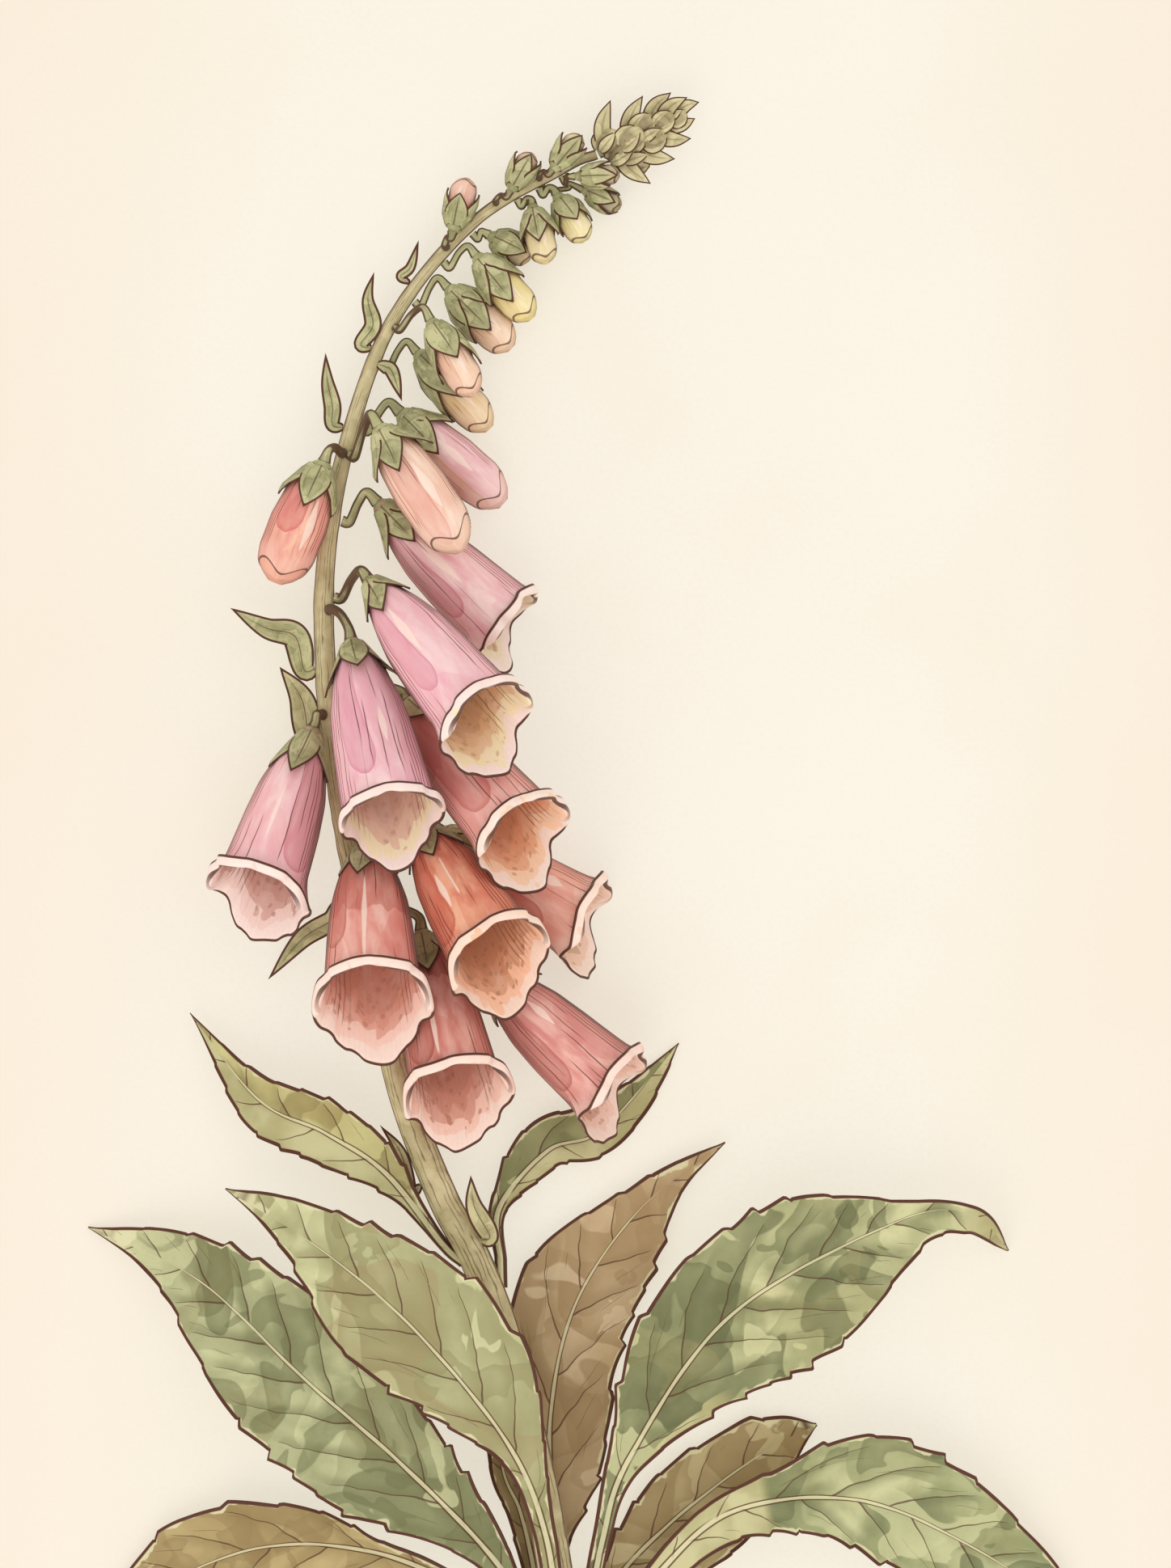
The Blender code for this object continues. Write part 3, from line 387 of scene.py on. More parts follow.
class Piece:
    """One visible object, put together from closed bodies."""

    def __init__(self, name):
        self.name = name
        self.points, self.quads, self.ends, self.values, self.slots = [], [], [], [], []
        self.count = 0

    def rings(self, rings, slot=0, **values):
        """Add a closed body from rings of points (rows, columns, 3) and values of the same size."""
        rows, columns = rings.shape[:2]
        index = np.arange(rows * columns).reshape(rows, columns)
        after = np.roll(index, -1, axis=1)
        quads = np.stack([index[:-1], after[:-1], after[1:], index[1:]], axis=-1).reshape(-1, 4)
        first, last = index[0][::-1], index[-1]
        flat = rings.reshape(-1, 3)
        a, b, c, d = (flat[quads[:, k]] for k in range(4))
        middle = flat.mean(axis=0)
        volume = np.einsum("ij,ij->i", a - middle, np.cross(b - middle, c - middle)).sum()
        volume += np.einsum("ij,ij->i", a - middle, np.cross(c - middle, d - middle)).sum()
        if volume < 0:
            quads, first, last = quads[:, ::-1], first[::-1], last[::-1]
        if "brow" not in values:
            values["brow"] = brow(rings)
        self.points.append(flat)
        self.quads.append(quads + self.count)
        self.ends += [(first + self.count, slot), (last + self.count, slot)]
        self.slots.append(np.full(len(quads), slot))
        table = np.zeros((rows * columns, len(NAMES)))
        for name, value in values.items():
            table[:, NAMES.index(name)] = np.broadcast_to(value, (rows, columns)).ravel()
        self.values.append(table)
        self.count += rows * columns

    def blade(self, middle, half, slot=0, back=None, **values):
        """Add a thin closed blade round a middle surface (rows, columns, 3); half is half its thickness."""
        normal = rows_unit(np.cross(np.gradient(middle, axis=1), np.gradient(middle, axis=0)))
        normal *= np.sign(np.sum(normal[..., 2]) or 1.0)
        back = half if back is None else back
        half, back = (np.broadcast_to(v, middle.shape[:2])[..., None] for v in (half, back))
        rings = np.concatenate([middle + half * normal, (middle - back * normal)[:, ::-1]], axis=1)
        both = {}
        for name, value in values.items():
            value = np.broadcast_to(value, middle.shape[:2])
            both[name] = np.concatenate([value, value[:, ::-1]], axis=1)
        under = np.concatenate([np.zeros(middle.shape[:2]), np.ones(middle.shape[:2])], axis=1)
        self.rings(rings, slot, inside=under, brow=NO_BROW, **both)

    def build(self, node, materials):
        """Make the object, and hide the imported part of the node it stands for."""
        points = np.concatenate(self.points) - PLAN_MIDDLE
        low = points[:, 2] < SOFT_FLOOR
        pressed = np.exp((points[low, 2] - SOFT_FLOOR) / 0.5)
        points[low, 2] = LOWEST + (SOFT_FLOOR - LOWEST) * pressed
        points = points * MM + ROW_MIDDLE
        quads = np.concatenate(self.quads)
        mesh = bpy.data.meshes.new(self.name)
        mesh.vertices.add(len(points))
        mesh.vertices.foreach_set("co", points.ravel())
        corners = np.concatenate([quads.ravel()] + [end for end, _ in self.ends])
        sizes = np.concatenate([np.full(len(quads), 4), [len(end) for end, _ in self.ends]]).astype(int)
        mesh.loops.add(len(corners))
        mesh.loops.foreach_set("vertex_index", corners.astype(np.int32))
        mesh.polygons.add(len(sizes))
        starts = np.concatenate([[0], np.cumsum(sizes)[:-1]])
        mesh.polygons.foreach_set("loop_start", starts.astype(np.int32))
        slots = np.concatenate(self.slots + [[slot for _, slot in self.ends]]).astype(np.int32)
        mesh.polygons.foreach_set("material_index", slots)
        mesh.update(calc_edges=True)
        mesh.validate()
        mesh.polygons.foreach_set("use_smooth", np.ones(len(mesh.polygons), dtype=bool))
        table = np.concatenate(self.values)
        for k, name in enumerate(NAMES):
            layer = mesh.attributes.new(name, "FLOAT", "POINT")
            layer.data.foreach_set("value", table[:, k].astype(np.float32))
        for item in materials:
            mesh.materials.append(item)
        obj = bpy.data.objects.new(self.name, mesh)
        bpy.context.scene.collection.objects.link(obj)
        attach(obj, "root")
        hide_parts(node)
        for part in frame["record"]["subparts"]:
            part["node"] == node


# ---------------------------------------------------------------------------------------------
# Materials
# ---------------------------------------------------------------------------------------------
class Field:
    """A value that varies over a surface; it is reckoned with like a number."""

    def __init__(self, paint, socket):
        self.paint, self.socket = paint, socket

    def __add__(self, other):
        return self.paint.math("ADD", self, other)

    def __radd__(self, other):
        return self.paint.math("ADD", other, self)

    def __sub__(self, other):
        return self.paint.math("SUBTRACT", self, other)

    def __rsub__(self, other):
        return self.paint.math("SUBTRACT", other, self)

    def __mul__(self, other):
        return self.paint.math("MULTIPLY", self, other)

    def __truediv__(self, other):
        return self.paint.math("DIVIDE", self, other)

    def __pow__(self, other):
        return self.paint.math("POWER", self, other)

    def __abs__(self):
        return self.paint.math("ABSOLUTE", self)

    def fract(self):
        return self.paint.math("FRACT", self)

    def floor(self):
        return self.paint.math("FLOOR", self)

    def sign(self):
        return self.paint.math("SIGN", self)

    def step(self, low, high):
        """Smooth step from 0 at low to 1 at high; low may be the larger."""
        first, last = (1.0, 0.0) if low > high else (0.0, 1.0)
        inputs = {"Value": self, "From Min": min(low, high), "From Max": max(low, high), "To Min": first,
                  "To Max": last}
        return self.paint.node("MapRange", "Result", inputs, interpolation_type="SMOOTHSTEP")


class Paint:
    """A material put together from small steps; every step returns a field."""

    def __init__(self, name):
        self.material = bpy.data.materials.new(name)
        self.material.use_nodes = True
        self.tree = self.material.node_tree
        self.shader = self.tree.nodes["Principled BSDF"]

    def put(self, socket, value):
        if isinstance(value, Field):
            self.tree.links.new(value.socket, socket)
        else:
            socket.default_value = value

    def node(self, kind, output, inputs, **settings):
        """Add a node, set it and its inputs up, and return one of its outputs."""
        node = self.tree.nodes.new("ShaderNode" + kind)
        for name, value in settings.items():
            setattr(node, name, value)
        for name, value in inputs.items():
            self.put(node.inputs[name], value)
        return Field(self, node.outputs[output])

    def value(self, name):
        return self.node("Attribute", "Fac", {}, attribute_name=name)

    def math(self, operation, a, b=0.0, c=0.0):
        return self.node("Math", 0, {0: a, 1: b, 2: c}, operation=operation)

    def larger(self, a, b):
        return self.math("MAXIMUM", a, b)

    def vector(self, x, y, z):
        return self.node("CombineXYZ", 0, {0: x, 1: y, 2: z})

    def place(self):
        """The point of the object in millimetres."""
        metres = self.node("TexCoord", "Object", {})
        return self.node("VectorMath", 0, {0: metres, "Scale": 1 / MM}, operation="SCALE")

    def noise(self, vector, scale, detail=2.0, rough=0.5, warp=0.0):
        return self.node("TexNoise", "Fac", {"Vector": vector, "Scale": scale, "Detail": detail,
                                             "Roughness": rough, "Distortion": warp})

    def cells(self, vector):
        return self.node("TexVoronoi", "Distance", {"Vector": vector, "Scale": 1.0})

    def mix(self, share, a, b):
        return self.node("Mix", 2, {0: share, 6: a, 7: b}, data_type="RGBA")

    def finish(self, colour, height, rough, depth=0.25, sheen=0.0):
        bump = self.node("Bump", "Normal", {"Strength": 0.5, "Distance": depth * MM, "Height": height})
        looks = {"Base Color": colour, "Roughness": rough, "Specular IOR Level": 0.28, "Sheen Weight": sheen,
                 "Sheen Roughness": 0.6, "Normal": bump}
        for name, value in looks.items():
            self.put(self.shader.inputs[name], value)
        return self.material


def streaks(p, turn, along, pitch, seed, dense, sparse):
    """Fine lines along a tube: many on its flanks, few on its back; 1 on a line. Drawn denser on the flanks,
    they also paint shade there.
    """
    wander = p.noise(p.vector(turn * 1.3, along * 2.0, seed), 1.6)
    moved = turn / pitch + wander * 1.6
    line = abs(moved.fract() - 0.5).step(0.17, 0.07)
    on = p.noise(p.vector(moved.floor() * 3.71, along * 1.2, seed + 4.0), 1.0, 1.0)
    # Denser lines on the flanks: veins, and painted shade on the sides.
    limit = sparse + abs(turn).step(0.55, 1.15) * (dense - sparse)
    return line * (on + limit).step(0.98, 1.04)


def pooled(value, edge):
    """A wash that starts crisply at a value, is deepest there and thins out past it."""
    crisp, thinning = 0.004, 0.12
    return value.step(edge - crisp, edge + crisp) * (1.0 - value.step(edge, edge + thinning) * 0.5)


def petal_skin(p, tones, washes, along, turn, seed):
    """Washes on the outside of a bell or bud, with painted shade on its flanks and painted highlight streaks.
    """
    pale, middle, deep = (linear(tone) for tone in tones[:3])
    (centre, half, end, lean), cap, highlight_streaks = washes
    around = p.vector(turn * 0.9, along * 1.3, seed)
    blot = p.noise(around, 1.6, 1.0, 0.4, 0.3)
    soft = p.noise(around, 3.0, 3.0, 0.55, 0.3)
    colour = p.mix(soft.step(0.3, 0.7), pale, middle)
    # Painted shade: the skin turns to its middle tone towards the flanks.
    colour = p.mix(abs(turn).step(0.35, 1.3), colour, middle)
    colour = p.mix(pooled(blot, 0.53) * 0.42, colour, middle)

    tip = 0.14
    wide = abs(turn - (centre + along * lean)) / half
    past = p.larger((along - (end - tip)) / tip, 0.0)
    away = wide ** 2.0 + past ** 2.0 + (soft - 0.5) * 0.7
    colour = p.mix(away.step(1.03, 0.95) * (0.5 + away.step(0.5, 0.95) * 0.35), colour, deep)

    scallop = p.noise(p.vector(turn * 2.6, 0.0, seed + 3.0), 1.0, 1.0)
    low = along - scallop * 0.24
    colour = p.mix(low.step(cap - 0.11, cap - 0.125) * (0.35 + soft * 0.45), colour, deep)
    # Painted shade: the flanks turn to the deep tone, as if lit from above.
    flank_shade = (abs(turn) + soft * 0.4).step(1.15, 1.75)
    colour = p.mix(flank_shade * 0.55, colour, deep)

    # Painted highlights: pale streaks along the skin, as if light glanced off it.
    for place, width, start, stop in highlight_streaks:
        span = along.step(start, (start + stop) / 2) * along.step(stop, (start + stop) / 2)
        ragged = abs(turn - (place + blot * 0.1)) - (soft - 0.5) * 0.12
        highlight_mask = (ragged - span * width).step(0.03, 0.0)
        colour = p.mix(highlight_mask * span.step(0.0, 0.15) * 0.7, colour, linear(PAINTED_HIGHLIGHT))
    return colour, around, soft


def petal_throat(p, tones, rim, turn, across, along, around, soft, seed):
    """Washes, spots and lines on the inside of a bell; the washes deepen into the tube, partly as painted
    shade.
    """
    throat, band, ink = linear(tones[3]), linear(tones[4]), linear(INK)
    pale = p.mix(0.6, linear(tones[0]), linear(LIP_LIGHT))
    drops = p.cells(p.vector(turn * 3.2, rim * 0.26, seed + 8.0))
    wave = p.noise(around, 3.6, 1.0, 0.5, 0.2)
    depth = rim + (wave * 5.5 + drops * -4.4)
    inner = pale
    # The throat darkens with depth into the tube: partly its own colour, partly painted shade deep in the
    # recess.
    washes = ((3.6, 4.1, 0.8, band), (7.4, 7.8, 0.62, throat), (10.6, 11.1, 0.6, throat),
              (14.0, 14.6, 0.16, linear(DEEP_THROAT_SHADE)))
    for low, high, share, tone in washes:
        inner = p.mix(depth.step(low, high) * share, inner, tone)

    dots = p.cells(p.vector(turn * 5.0, rim * 0.46, seed + 2.0))
    spot = (dots + rim.step(12.0, 3.0) * 0.08).step(0.36, 0.31)
    where = across.step(-0.2, -0.6) * rim.step(4.0, 5.0) * wave.step(0.38, 0.46)
    inner = p.mix(spot * where * 0.6, inner, p.mix(0.32, throat, ink))
    inner = p.mix(soft.step(0.45, 0.75) * 0.25, inner, pale)
    lines = streaks(p, turn, along, 0.13, seed + 2.0, 0.56, 0.56)
    side = across.step(-0.93, -0.7) * across.step(0.5, 0.0)
    return p.mix(lines * side * rim.step(4.0, 7.0) * 0.55, inner, ink)


def petal_material(name, tones, washes, seed, closed=False):
    """A bell or a closed bud: washes, fine lines, its inked outline and margin, and its throat."""
    p = Paint(name)
    ink, fringe = linear(INK), p.mix(0.55, linear(tones[0]), linear(FRINGE))
    along, rim, across, brow_far = (p.value(name) for name in ("along", "rim", "across", "brow"))
    turn = p.math("ARCTAN2", p.value("sine"), p.value("cosine"))
    colour, around, soft = petal_skin(p, tones, washes, along, turn, seed)
    grain = p.noise(p.place(), 0.9, 3.0, 0.6)
    colour = p.mix((rim + soft * 5.0).step(9.5, 4.0) * (0.25 if closed else 0.65), colour, fringe)
    lines = streaks(p, turn, along, 0.105, seed + 1.0, 0.66, 0.38)
    colour = p.mix(lines * rim.step(2.0, 6.0) * 0.85, colour, ink)

    comb = abs((turn * 19.0).fract() - 0.5)
    hatch = comb.step(0.34, 0.24) * brow_far.step(0.70, 0.45)
    skyline = p.larger(brow_far.step(0.26, 0.15), hatch * 0.8)
    colour = p.mix(skyline * 0.9, colour, ink)
    if closed:
        slot = p.mix(0.5, linear(tones[4]), linear(tones[1]))
        colour = p.mix(rim.step(0.0, -0.1) * 0.55, colour, slot)
        colour = p.mix(abs(rim).step(0.32, 0.18) * 0.85, colour, ink)
    else:
        inner = petal_throat(p, tones, rim, turn, across, along, around, soft, seed)
        fold = rim.step(2.4, 2.65) * rim.step(3.55, 3.3)
        inner = p.mix(fold * across.step(-0.1, 0.5) * 0.95, inner, ink)
        colour = p.mix(p.value("inside"), colour, inner)
        colour = p.mix(rim.step(0.78, 0.52), colour, ink)
    colour = p.mix(grain.step(0.35, 0.75) * 0.05, colour, linear(tones[2]))
    return p.finish(colour, lines * -0.5 + soft * 0.6, 0.5 + grain * 0.2, 0.2, 0.08)


def green_material(name, tones, seed, lines=1.0):
    """Stems, stalks, sepals and bracts: soft green washes with fine brown lines and inked margins, and
    painted shade on the flanks of stems and stalks.
    """
    p = Paint(name)
    pale, middle, deep = (linear(tone) for tone in tones)
    ink = linear(INK)
    place = p.place()
    soft = p.noise(place, 0.22, 3.0, 0.55, 0.4)
    blot = p.noise(place, 0.16, 1.5, 0.5, 0.6)
    grain = p.noise(place, 1.3, 3.0, 0.6)
    edge = p.value("edge")
    turn = p.math("ARCTAN2", p.value("sine"), p.value("cosine"))
    fine = streaks(p, turn, p.value("run") * 0.05, 0.30, seed, 0.66, 0.50)

    rod = p.mix(soft.step(0.3, 0.7) * 0.8, pale, middle)
    rod = p.mix(blot.step(0.45, 0.6) * 0.25, rod, deep)
    # Painted shade: rods turn to their deep tone on their flanks, as if lit from above.
    rod = p.mix(abs(turn).step(0.95, 1.35) * 0.4, rod, deep)
    rod = p.mix(fine * 0.6, rod, ink)
    rod = p.mix(p.value("brow").step(0.14 + 0.36 * lines, 0.06 + 0.26 * lines) * 0.9, rod, ink)

    leafy = p.mix(soft.step(0.3, 0.68), pale, middle)
    leafy = p.mix(pooled(blot, 0.5) * 0.5, leafy, deep)
    leafy = p.mix(blot.step(0.42, 0.40) * 0.3, leafy, pale)
    middle_line = abs(p.value("mid")).step(0.26, 0.14) * p.value("along").step(0.95, 0.6)
    leafy = p.mix(middle_line * (0.7 * lines), leafy, ink)
    wave = abs((p.value("across") * 2.6).fract() - 0.5)
    side_lines = wave.step(0.12, 0.04) * p.noise(place, 0.5).step(0.5, 0.56)
    leafy = p.mix(side_lines * (0.4 * lines), leafy, ink)
    leafy = p.mix(edge.step(1.5, 0.8) * 0.3, leafy, pale)
    leafy = p.mix(edge.step(0.18 + 0.42 * lines, 0.08 + 0.3 * lines), leafy, ink)
    return p.finish(p.mix(p.value("tube"), leafy, rod), fine * -0.7 + grain, 0.5 + grain * 0.2, 0.15, 0.05)


def leaf_veins(p, run, mid, reach, place, pitch, slope, width, seed, low, high):
    """Side veins that curve forward from the midrib, thinning towards the margin; 1 on a vein. Also painted
    shade, deepest just past each vein and fading across the cell.
    """
    far, side = abs(mid), mid.sign()
    bend = far * slope + far ** 2.0 * 0.020
    wobble = p.noise(p.vector(run * 0.06, side, seed), 1.0, 2.0) * 7.0
    shake = p.noise(place, 0.16, 1.0) * 2.6
    cell = (run - bend + (wobble + shake)) / pitch + side * 0.27
    part = cell.fract()
    chance = p.noise(p.vector(cell.floor() * 7.31, side, seed + 5.0), 1.0, 0.0)
    line = (abs(part - 0.5) * pitch - (1.15 - reach) * width).step(0.1, -0.04)
    stop = high + (chance - 0.5) * 0.35
    kept = (reach - stop).step(0.05, -0.05) * reach.step(low, low + 0.06)
    return line * kept, part.step(0.5, 0.515) * part.step(0.95, 0.52)


def leaf_washes(p, tones, place, along, reach, edge, soft, grain, vein_shade):
    """Blots, patches, painted shade beside the veins and the paler margin on the upper side of a leaf."""
    pale, middle, deep, brown = (linear(tone) for tone in tones[:4])
    share = tones[4]
    blot = p.noise(place, 0.023, 2.0, 0.5, 0.5)
    patch = p.noise(place, 0.045, 2.5, 0.55, 0.6)
    tan = p.noise(place, 0.036, 1.0, 0.5, 0.4)
    layers = (
        (soft.step(0.3, 0.7), middle),
        (pooled(blot, 0.44) * 0.6, middle),
        (pooled(blot, 0.52) * 0.68, deep),
        (pooled(patch, 0.54) * 0.55, deep),
        # Painted shade: darker just past each side vein, fading across the cell, as if the blade were
        # embossed.
        (vein_shade * reach.step(0.95, 0.6) * 0.5, deep),
        (reach.step(0.5, 0.05) * soft.step(0.35, 0.6) * 0.4, deep),
        (along.step(0.6, 0.2) * 0.45, deep),
        (pooled(tan, 0.62 - 0.25 * share) * share, brown),
        (patch.step(0.38, 0.37) * 0.65, pale),
        (grain.step(0.5, 0.85) * 0.14, deep),
        ((edge + p.noise(place, 0.17, 2.0) * 4.4).step(3.3, 2.9) * 0.8, linear(LEAF_CREAM)),
    )
    colour = pale
    for amount, tone in layers:
        colour = p.mix(amount, colour, tone)
    return colour


def leaf_back(p, back, along, across):
    """Where a leaf shows its paler underside: 1 there, 0 elsewhere."""
    before, after, side, limit = back
    shows = p.larger(along.step(before + 0.01, before - 0.01), along.step(after - 0.01, after + 0.01))
    if side:
        lower = across * float(side)
        half = lower.step(0.05, 0.09)
        if limit < 1.0:
            half = lower.step(0.70, 0.74) * along.step(limit, limit - 0.05)
        shows = p.larger(shows, half)
    return p.larger(shows, p.value("inside"))


def leaf_material(name, tones, seed, back):
    """A leaf: washes, veins, the pale midrib with its two ink lines, and the inked margin."""
    p = Paint(name)
    ink, cream = linear(INK), linear(LEAF_CREAM)
    shift = p.vector(seed * 31.0, seed * 17.0, 0.0)
    place = p.node("VectorMath", 0, {0: p.place(), 1: shift}, operation="ADD")
    along, edge, mid, across, run = (p.value(name) for name in ("along", "edge", "mid", "across", "run"))
    reach = abs(across)
    soft = p.noise(place, 0.075, 3.0, 0.5, 0.3)
    grain = p.noise(place, 0.8, 4.0, 0.65)
    veins, vein_shade = leaf_veins(p, run, mid, reach, place, 14.5, 1.30, 0.30, seed, 0.0, 0.80)
    twigs, _ = leaf_veins(p, run, mid, reach, place, 11.0, 2.3, 0.18, seed + 9.0, 0.42, 0.72)
    few = p.noise(place, 0.035, 0.0).step(0.5, 0.54)
    lines = p.larger(veins, twigs * few * 0.75)

    colour = leaf_washes(p, tones, place, along, reach, edge, soft, grain, vein_shade)
    below = p.mix(soft.step(0.35, 0.65), linear(UNDERSIDE[0]), linear(UNDERSIDE[1]))
    colour = p.mix(leaf_back(p, back, along, across), colour, below)
    colour = p.mix(lines * 0.8, colour, ink)

    rib = abs(mid) / (1.15 - along)
    rib_line = rib.step(0.62, 0.75) * rib.step(1.25, 1.0)
    rib_on = p.noise(p.vector(along * 8.0, mid.sign(), seed), 1.0).step(0.34, 0.46)
    tip = along.step(0.88, 0.78)
    colour = p.mix(rib.step(0.75, 0.6) * tip * 0.7, colour, cream)
    colour = p.mix(rib_line * rib_on * tip * 0.9, colour, ink)
    colour = p.mix(edge.step(0.95, 0.68), colour, ink)
    return p.finish(colour, lines * -1.0 + grain * 0.9, 0.5 + grain * 0.22, 0.25, 0.05)


# ---------------------------------------------------------------------------------------------
# Stem, stalks, blades
# ---------------------------------------------------------------------------------------------
def tube_rings(path, radii, columns, first_up):
    """Rings of points round a path, and their angles from the carried upward direction."""
    sides, ups = carried_frames(path, first_up)
    angles = np.linspace(0, 2 * math.pi, columns, endpoint=False)
    spread = np.cos(angles)[None, :, None] * ups[:, None] + np.sin(angles)[None, :, None] * sides[:, None]
    return path[:, None] + radii[..., None] * spread, angles


def add_tube(piece, path, radii, columns, first_up, slot=0):
    """A round rod along a path."""
    radii = np.broadcast_to(np.asarray(radii)[:, None], (len(path), columns)) * 1.0
    rings, angles = tube_rings(path, radii, columns, first_up)
    run = np.concatenate([[0], np.cumsum(np.linalg.norm(np.diff(path, axis=0), axis=1))])[:, None]
    piece.rings(rings, slot, along=np.linspace(0, 1, len(path))[:, None], cosine=np.cos(angles)[None],
                sine=np.sin(angles)[None], run=run, tube=1.0, edge=FAR_EDGE)


def build_stem():
    piece = Piece("foxglove_stem")
    path = smooth_path(STEM_LINE, STEM_ROWS)
    angles = np.linspace(0, 2 * math.pi, STEM_COLUMNS, endpoint=False)
    place = np.linspace(0, 1, STEM_ROWS)
    radii = profile(STEM_RADIUS, place)[:, None] * np.ones((1, STEM_COLUMNS))
    ridges = 0.035 * np.cos(5 * angles + 0.8)[None] + 0.012 * np.cos(17 * angles + 1.0)[None]
    swell = np.zeros(STEM_ROWS)
    for y in [row[5][0] for row in BELLS.values()] + [row[3][0] for row in BUDS.values()]:
        swell += 0.05 * np.exp(-((path[:, 1] - y) / 2.2) ** 2)
    radii = radii * (1 + ridges + swell[:, None] - 0.02)
    rings, _ = tube_rings(path, radii, STEM_COLUMNS, UP)
    run = np.linspace(0, 420, STEM_ROWS)[:, None]
    piece.rings(rings, 0, along=place[:, None], cosine=np.cos(angles)[None], sine=np.sin(angles)[None],
                run=run, tube=1.0, edge=FAR_EDGE)
    piece.build("stem", [green_material("stem_skin", STEM_TONES, 3.0)])


def add_blade(piece, path, half_width, columns, thickness, fold):
    """A small pointed bract along a path."""
    rows = len(path)
    place = np.linspace(0, 1, rows)
    way = headings(path)
    side = rows_unit(np.cross(way, UP))
    up = np.cross(side, way)
    width = half_width * (0.45 * (1 - place) ** 2 + np.sin(math.pi * np.clip(place, 0, 1) ** 0.8) ** 0.9)
    width = np.maximum(width, 0.05)
    across = np.sin(np.linspace(-math.pi / 2, math.pi / 2, columns))
    offset = across[None] * width[:, None]
    lift = fold * np.abs(offset)
    middle = path[:, None] + offset[..., None] * side[:, None] + lift[..., None] * up[:, None]
    half = thickness * (0.35 + 0.65 * (1 - across[None] ** 2)) * (0.5 + 0.5 * (1 - place[:, None]))
    edge = (1 - np.abs(across[None])) * width[:, None] + 0 * place[:, None]
    tipped = np.minimum(edge, (1 - place[:, None]) * 8)
    piece.blade(middle, half, along=place[:, None], across=across[None], mid=offset, edge=tipped)


def smooth_profile(rows, value):
    """An outline read without corners: the mean of readings a little before and after."""
    return sum(profile(rows, np.clip(value + shift, 0, 1)) for shift in np.linspace(-0.035, 0.035, 9)) / 9


def leaf_half_width(outline, which, place, run, number):
    """Distance from the midrib to one margin, with its teeth and its slow waves."""
    widest = max(width for _, width in outline)
    half = smooth_profile(outline, place) * ramp(place, 1.03, 0.97)
    share = np.clip(half / widest, 0, 1)
    pitch = 10.5 if widest > 9 else 7.0
    beat = run / pitch + 0.45 * np.sin(run / 11.0 + number + which) + 0.3 * (which > 0)
    part = beat - np.floor(beat)
    tooth = np.where(part < 0.88, (part / 0.88) ** 1.6, (1 - part) / 0.12)
    size = 0.55 + 0.45 * np.sin(1.7 * np.floor(beat) + number)
    depth = min(2.1, 0.12 * widest) * np.clip(2.0 * share - 0.35, 0, 1) * size
    wave = 0.03 * widest * np.sin(run / 15.0 + 2.1 * number + which) * share
    return np.maximum(half + depth * (tooth - 0.4) + wave, 0.12)


def build_leaf(name, node, key, path_points, outlines, number):
    piece = Piece(name)
    path = smooth_path(path_points, LEAF_ROWS)
    place = np.linspace(0, 1, LEAF_ROWS)
    run = place * np.linalg.norm(np.diff(path, axis=0), axis=1).sum()
    way = headings(path)
    side = rows_unit(np.cross(way, UP))
    up = np.cross(side, way)
    across = np.sin(np.linspace(-math.pi / 2, math.pi / 2, LEAF_COLUMNS))
    left, right = (leaf_half_width(outline, which, place, run, number)
                   for which, outline in zip((-1, 1), outlines))
    width = np.where(across[None] < 0, left[:, None], right[:, None])
    mid = across[None] * width
    reach = np.abs(across)[None]
    place, run = place[:, None], run[:, None]

    # The blade curls up at its margins, ripples between its veins and sinks along the midrib
    blade = np.clip((left + right - 4) / 14, 0, 1)[:, None]
    ripple = np.sin((run - 1.3 * np.abs(mid)) / 2.3 + number)
    lift = 0.08 * width * reach ** 2 + 0.22 * blade * ripple * (1 - reach ** 4)
    lift = lift - 0.35 * blade * np.exp(-(mid / 0.9) ** 2)
    lift = lift + 0.8 * blade * reach ** 5 * np.sin(run / 6.5 + number + 1.7 * np.sign(mid))
    middle = path[:, None] + mid[..., None] * side[:, None] + lift[..., None] * up[:, None]

    # Half its thickness: a round stalk that runs on underneath as the rib
    thick = 0.42 - 0.2 * reach + 0 * place
    stalk = LEAF_STALK * (1 - 0.85 * place)
    ridge = np.exp(-(mid / (0.55 * stalk + 0.5)) ** 2)
    rib = (1.7 * (1 - ramp(place, 0.0, 0.5)) + 0.45 * (1 - place)) * ridge
    round_part = (1.0 - ramp(place, 0.0, 0.3)) * 1.1 * np.sqrt(np.clip(1 - reach ** 2, 0, 1))
    edge = np.minimum((1 - reach) * width, (1 - place) * 12 + 0.35)
    edge = edge + np.clip(0.7 - 0.25 * width, 0.0, 0.5)
    piece.blade(middle, thick + round_part, back=thick + rib, along=place, across=across[None], mid=mid,
                edge=edge, run=run)
    skin = leaf_material(name + "_skin", LEAF_TONES[key], 1.0 + number, PALE_BACK.get(key, FLAT))
    piece.build(node, [skin])


def build_leaves():
    for number, (letter, row) in enumerate(LEAVES.items()):
        around, points, *outlines = row
        reach = GAP + LEAF_STALK + 0.35
        feet = [stem_place(STEM_LINE[0][1] + rise, around, reach + lean) for rise, lean in LEAF_FEET]
        build_leaf("foxglove_leaf_" + letter, "leaf_" + letter, letter, feet + points, outlines, number)
    for number, (which, row) in enumerate(STEM_LEAVES.items()):
        where, points, *outlines = row
        feet = [stem_place(where[0] - 7.0, where[1], -0.9), stem_place(where[0] - 1.5, where[1], GAP + 1.3)]
        build_leaf("foxglove_stem_leaf_" + which, "stem_leaf_" + which, which, feet + points, outlines,
                   len(LEAVES) + number)


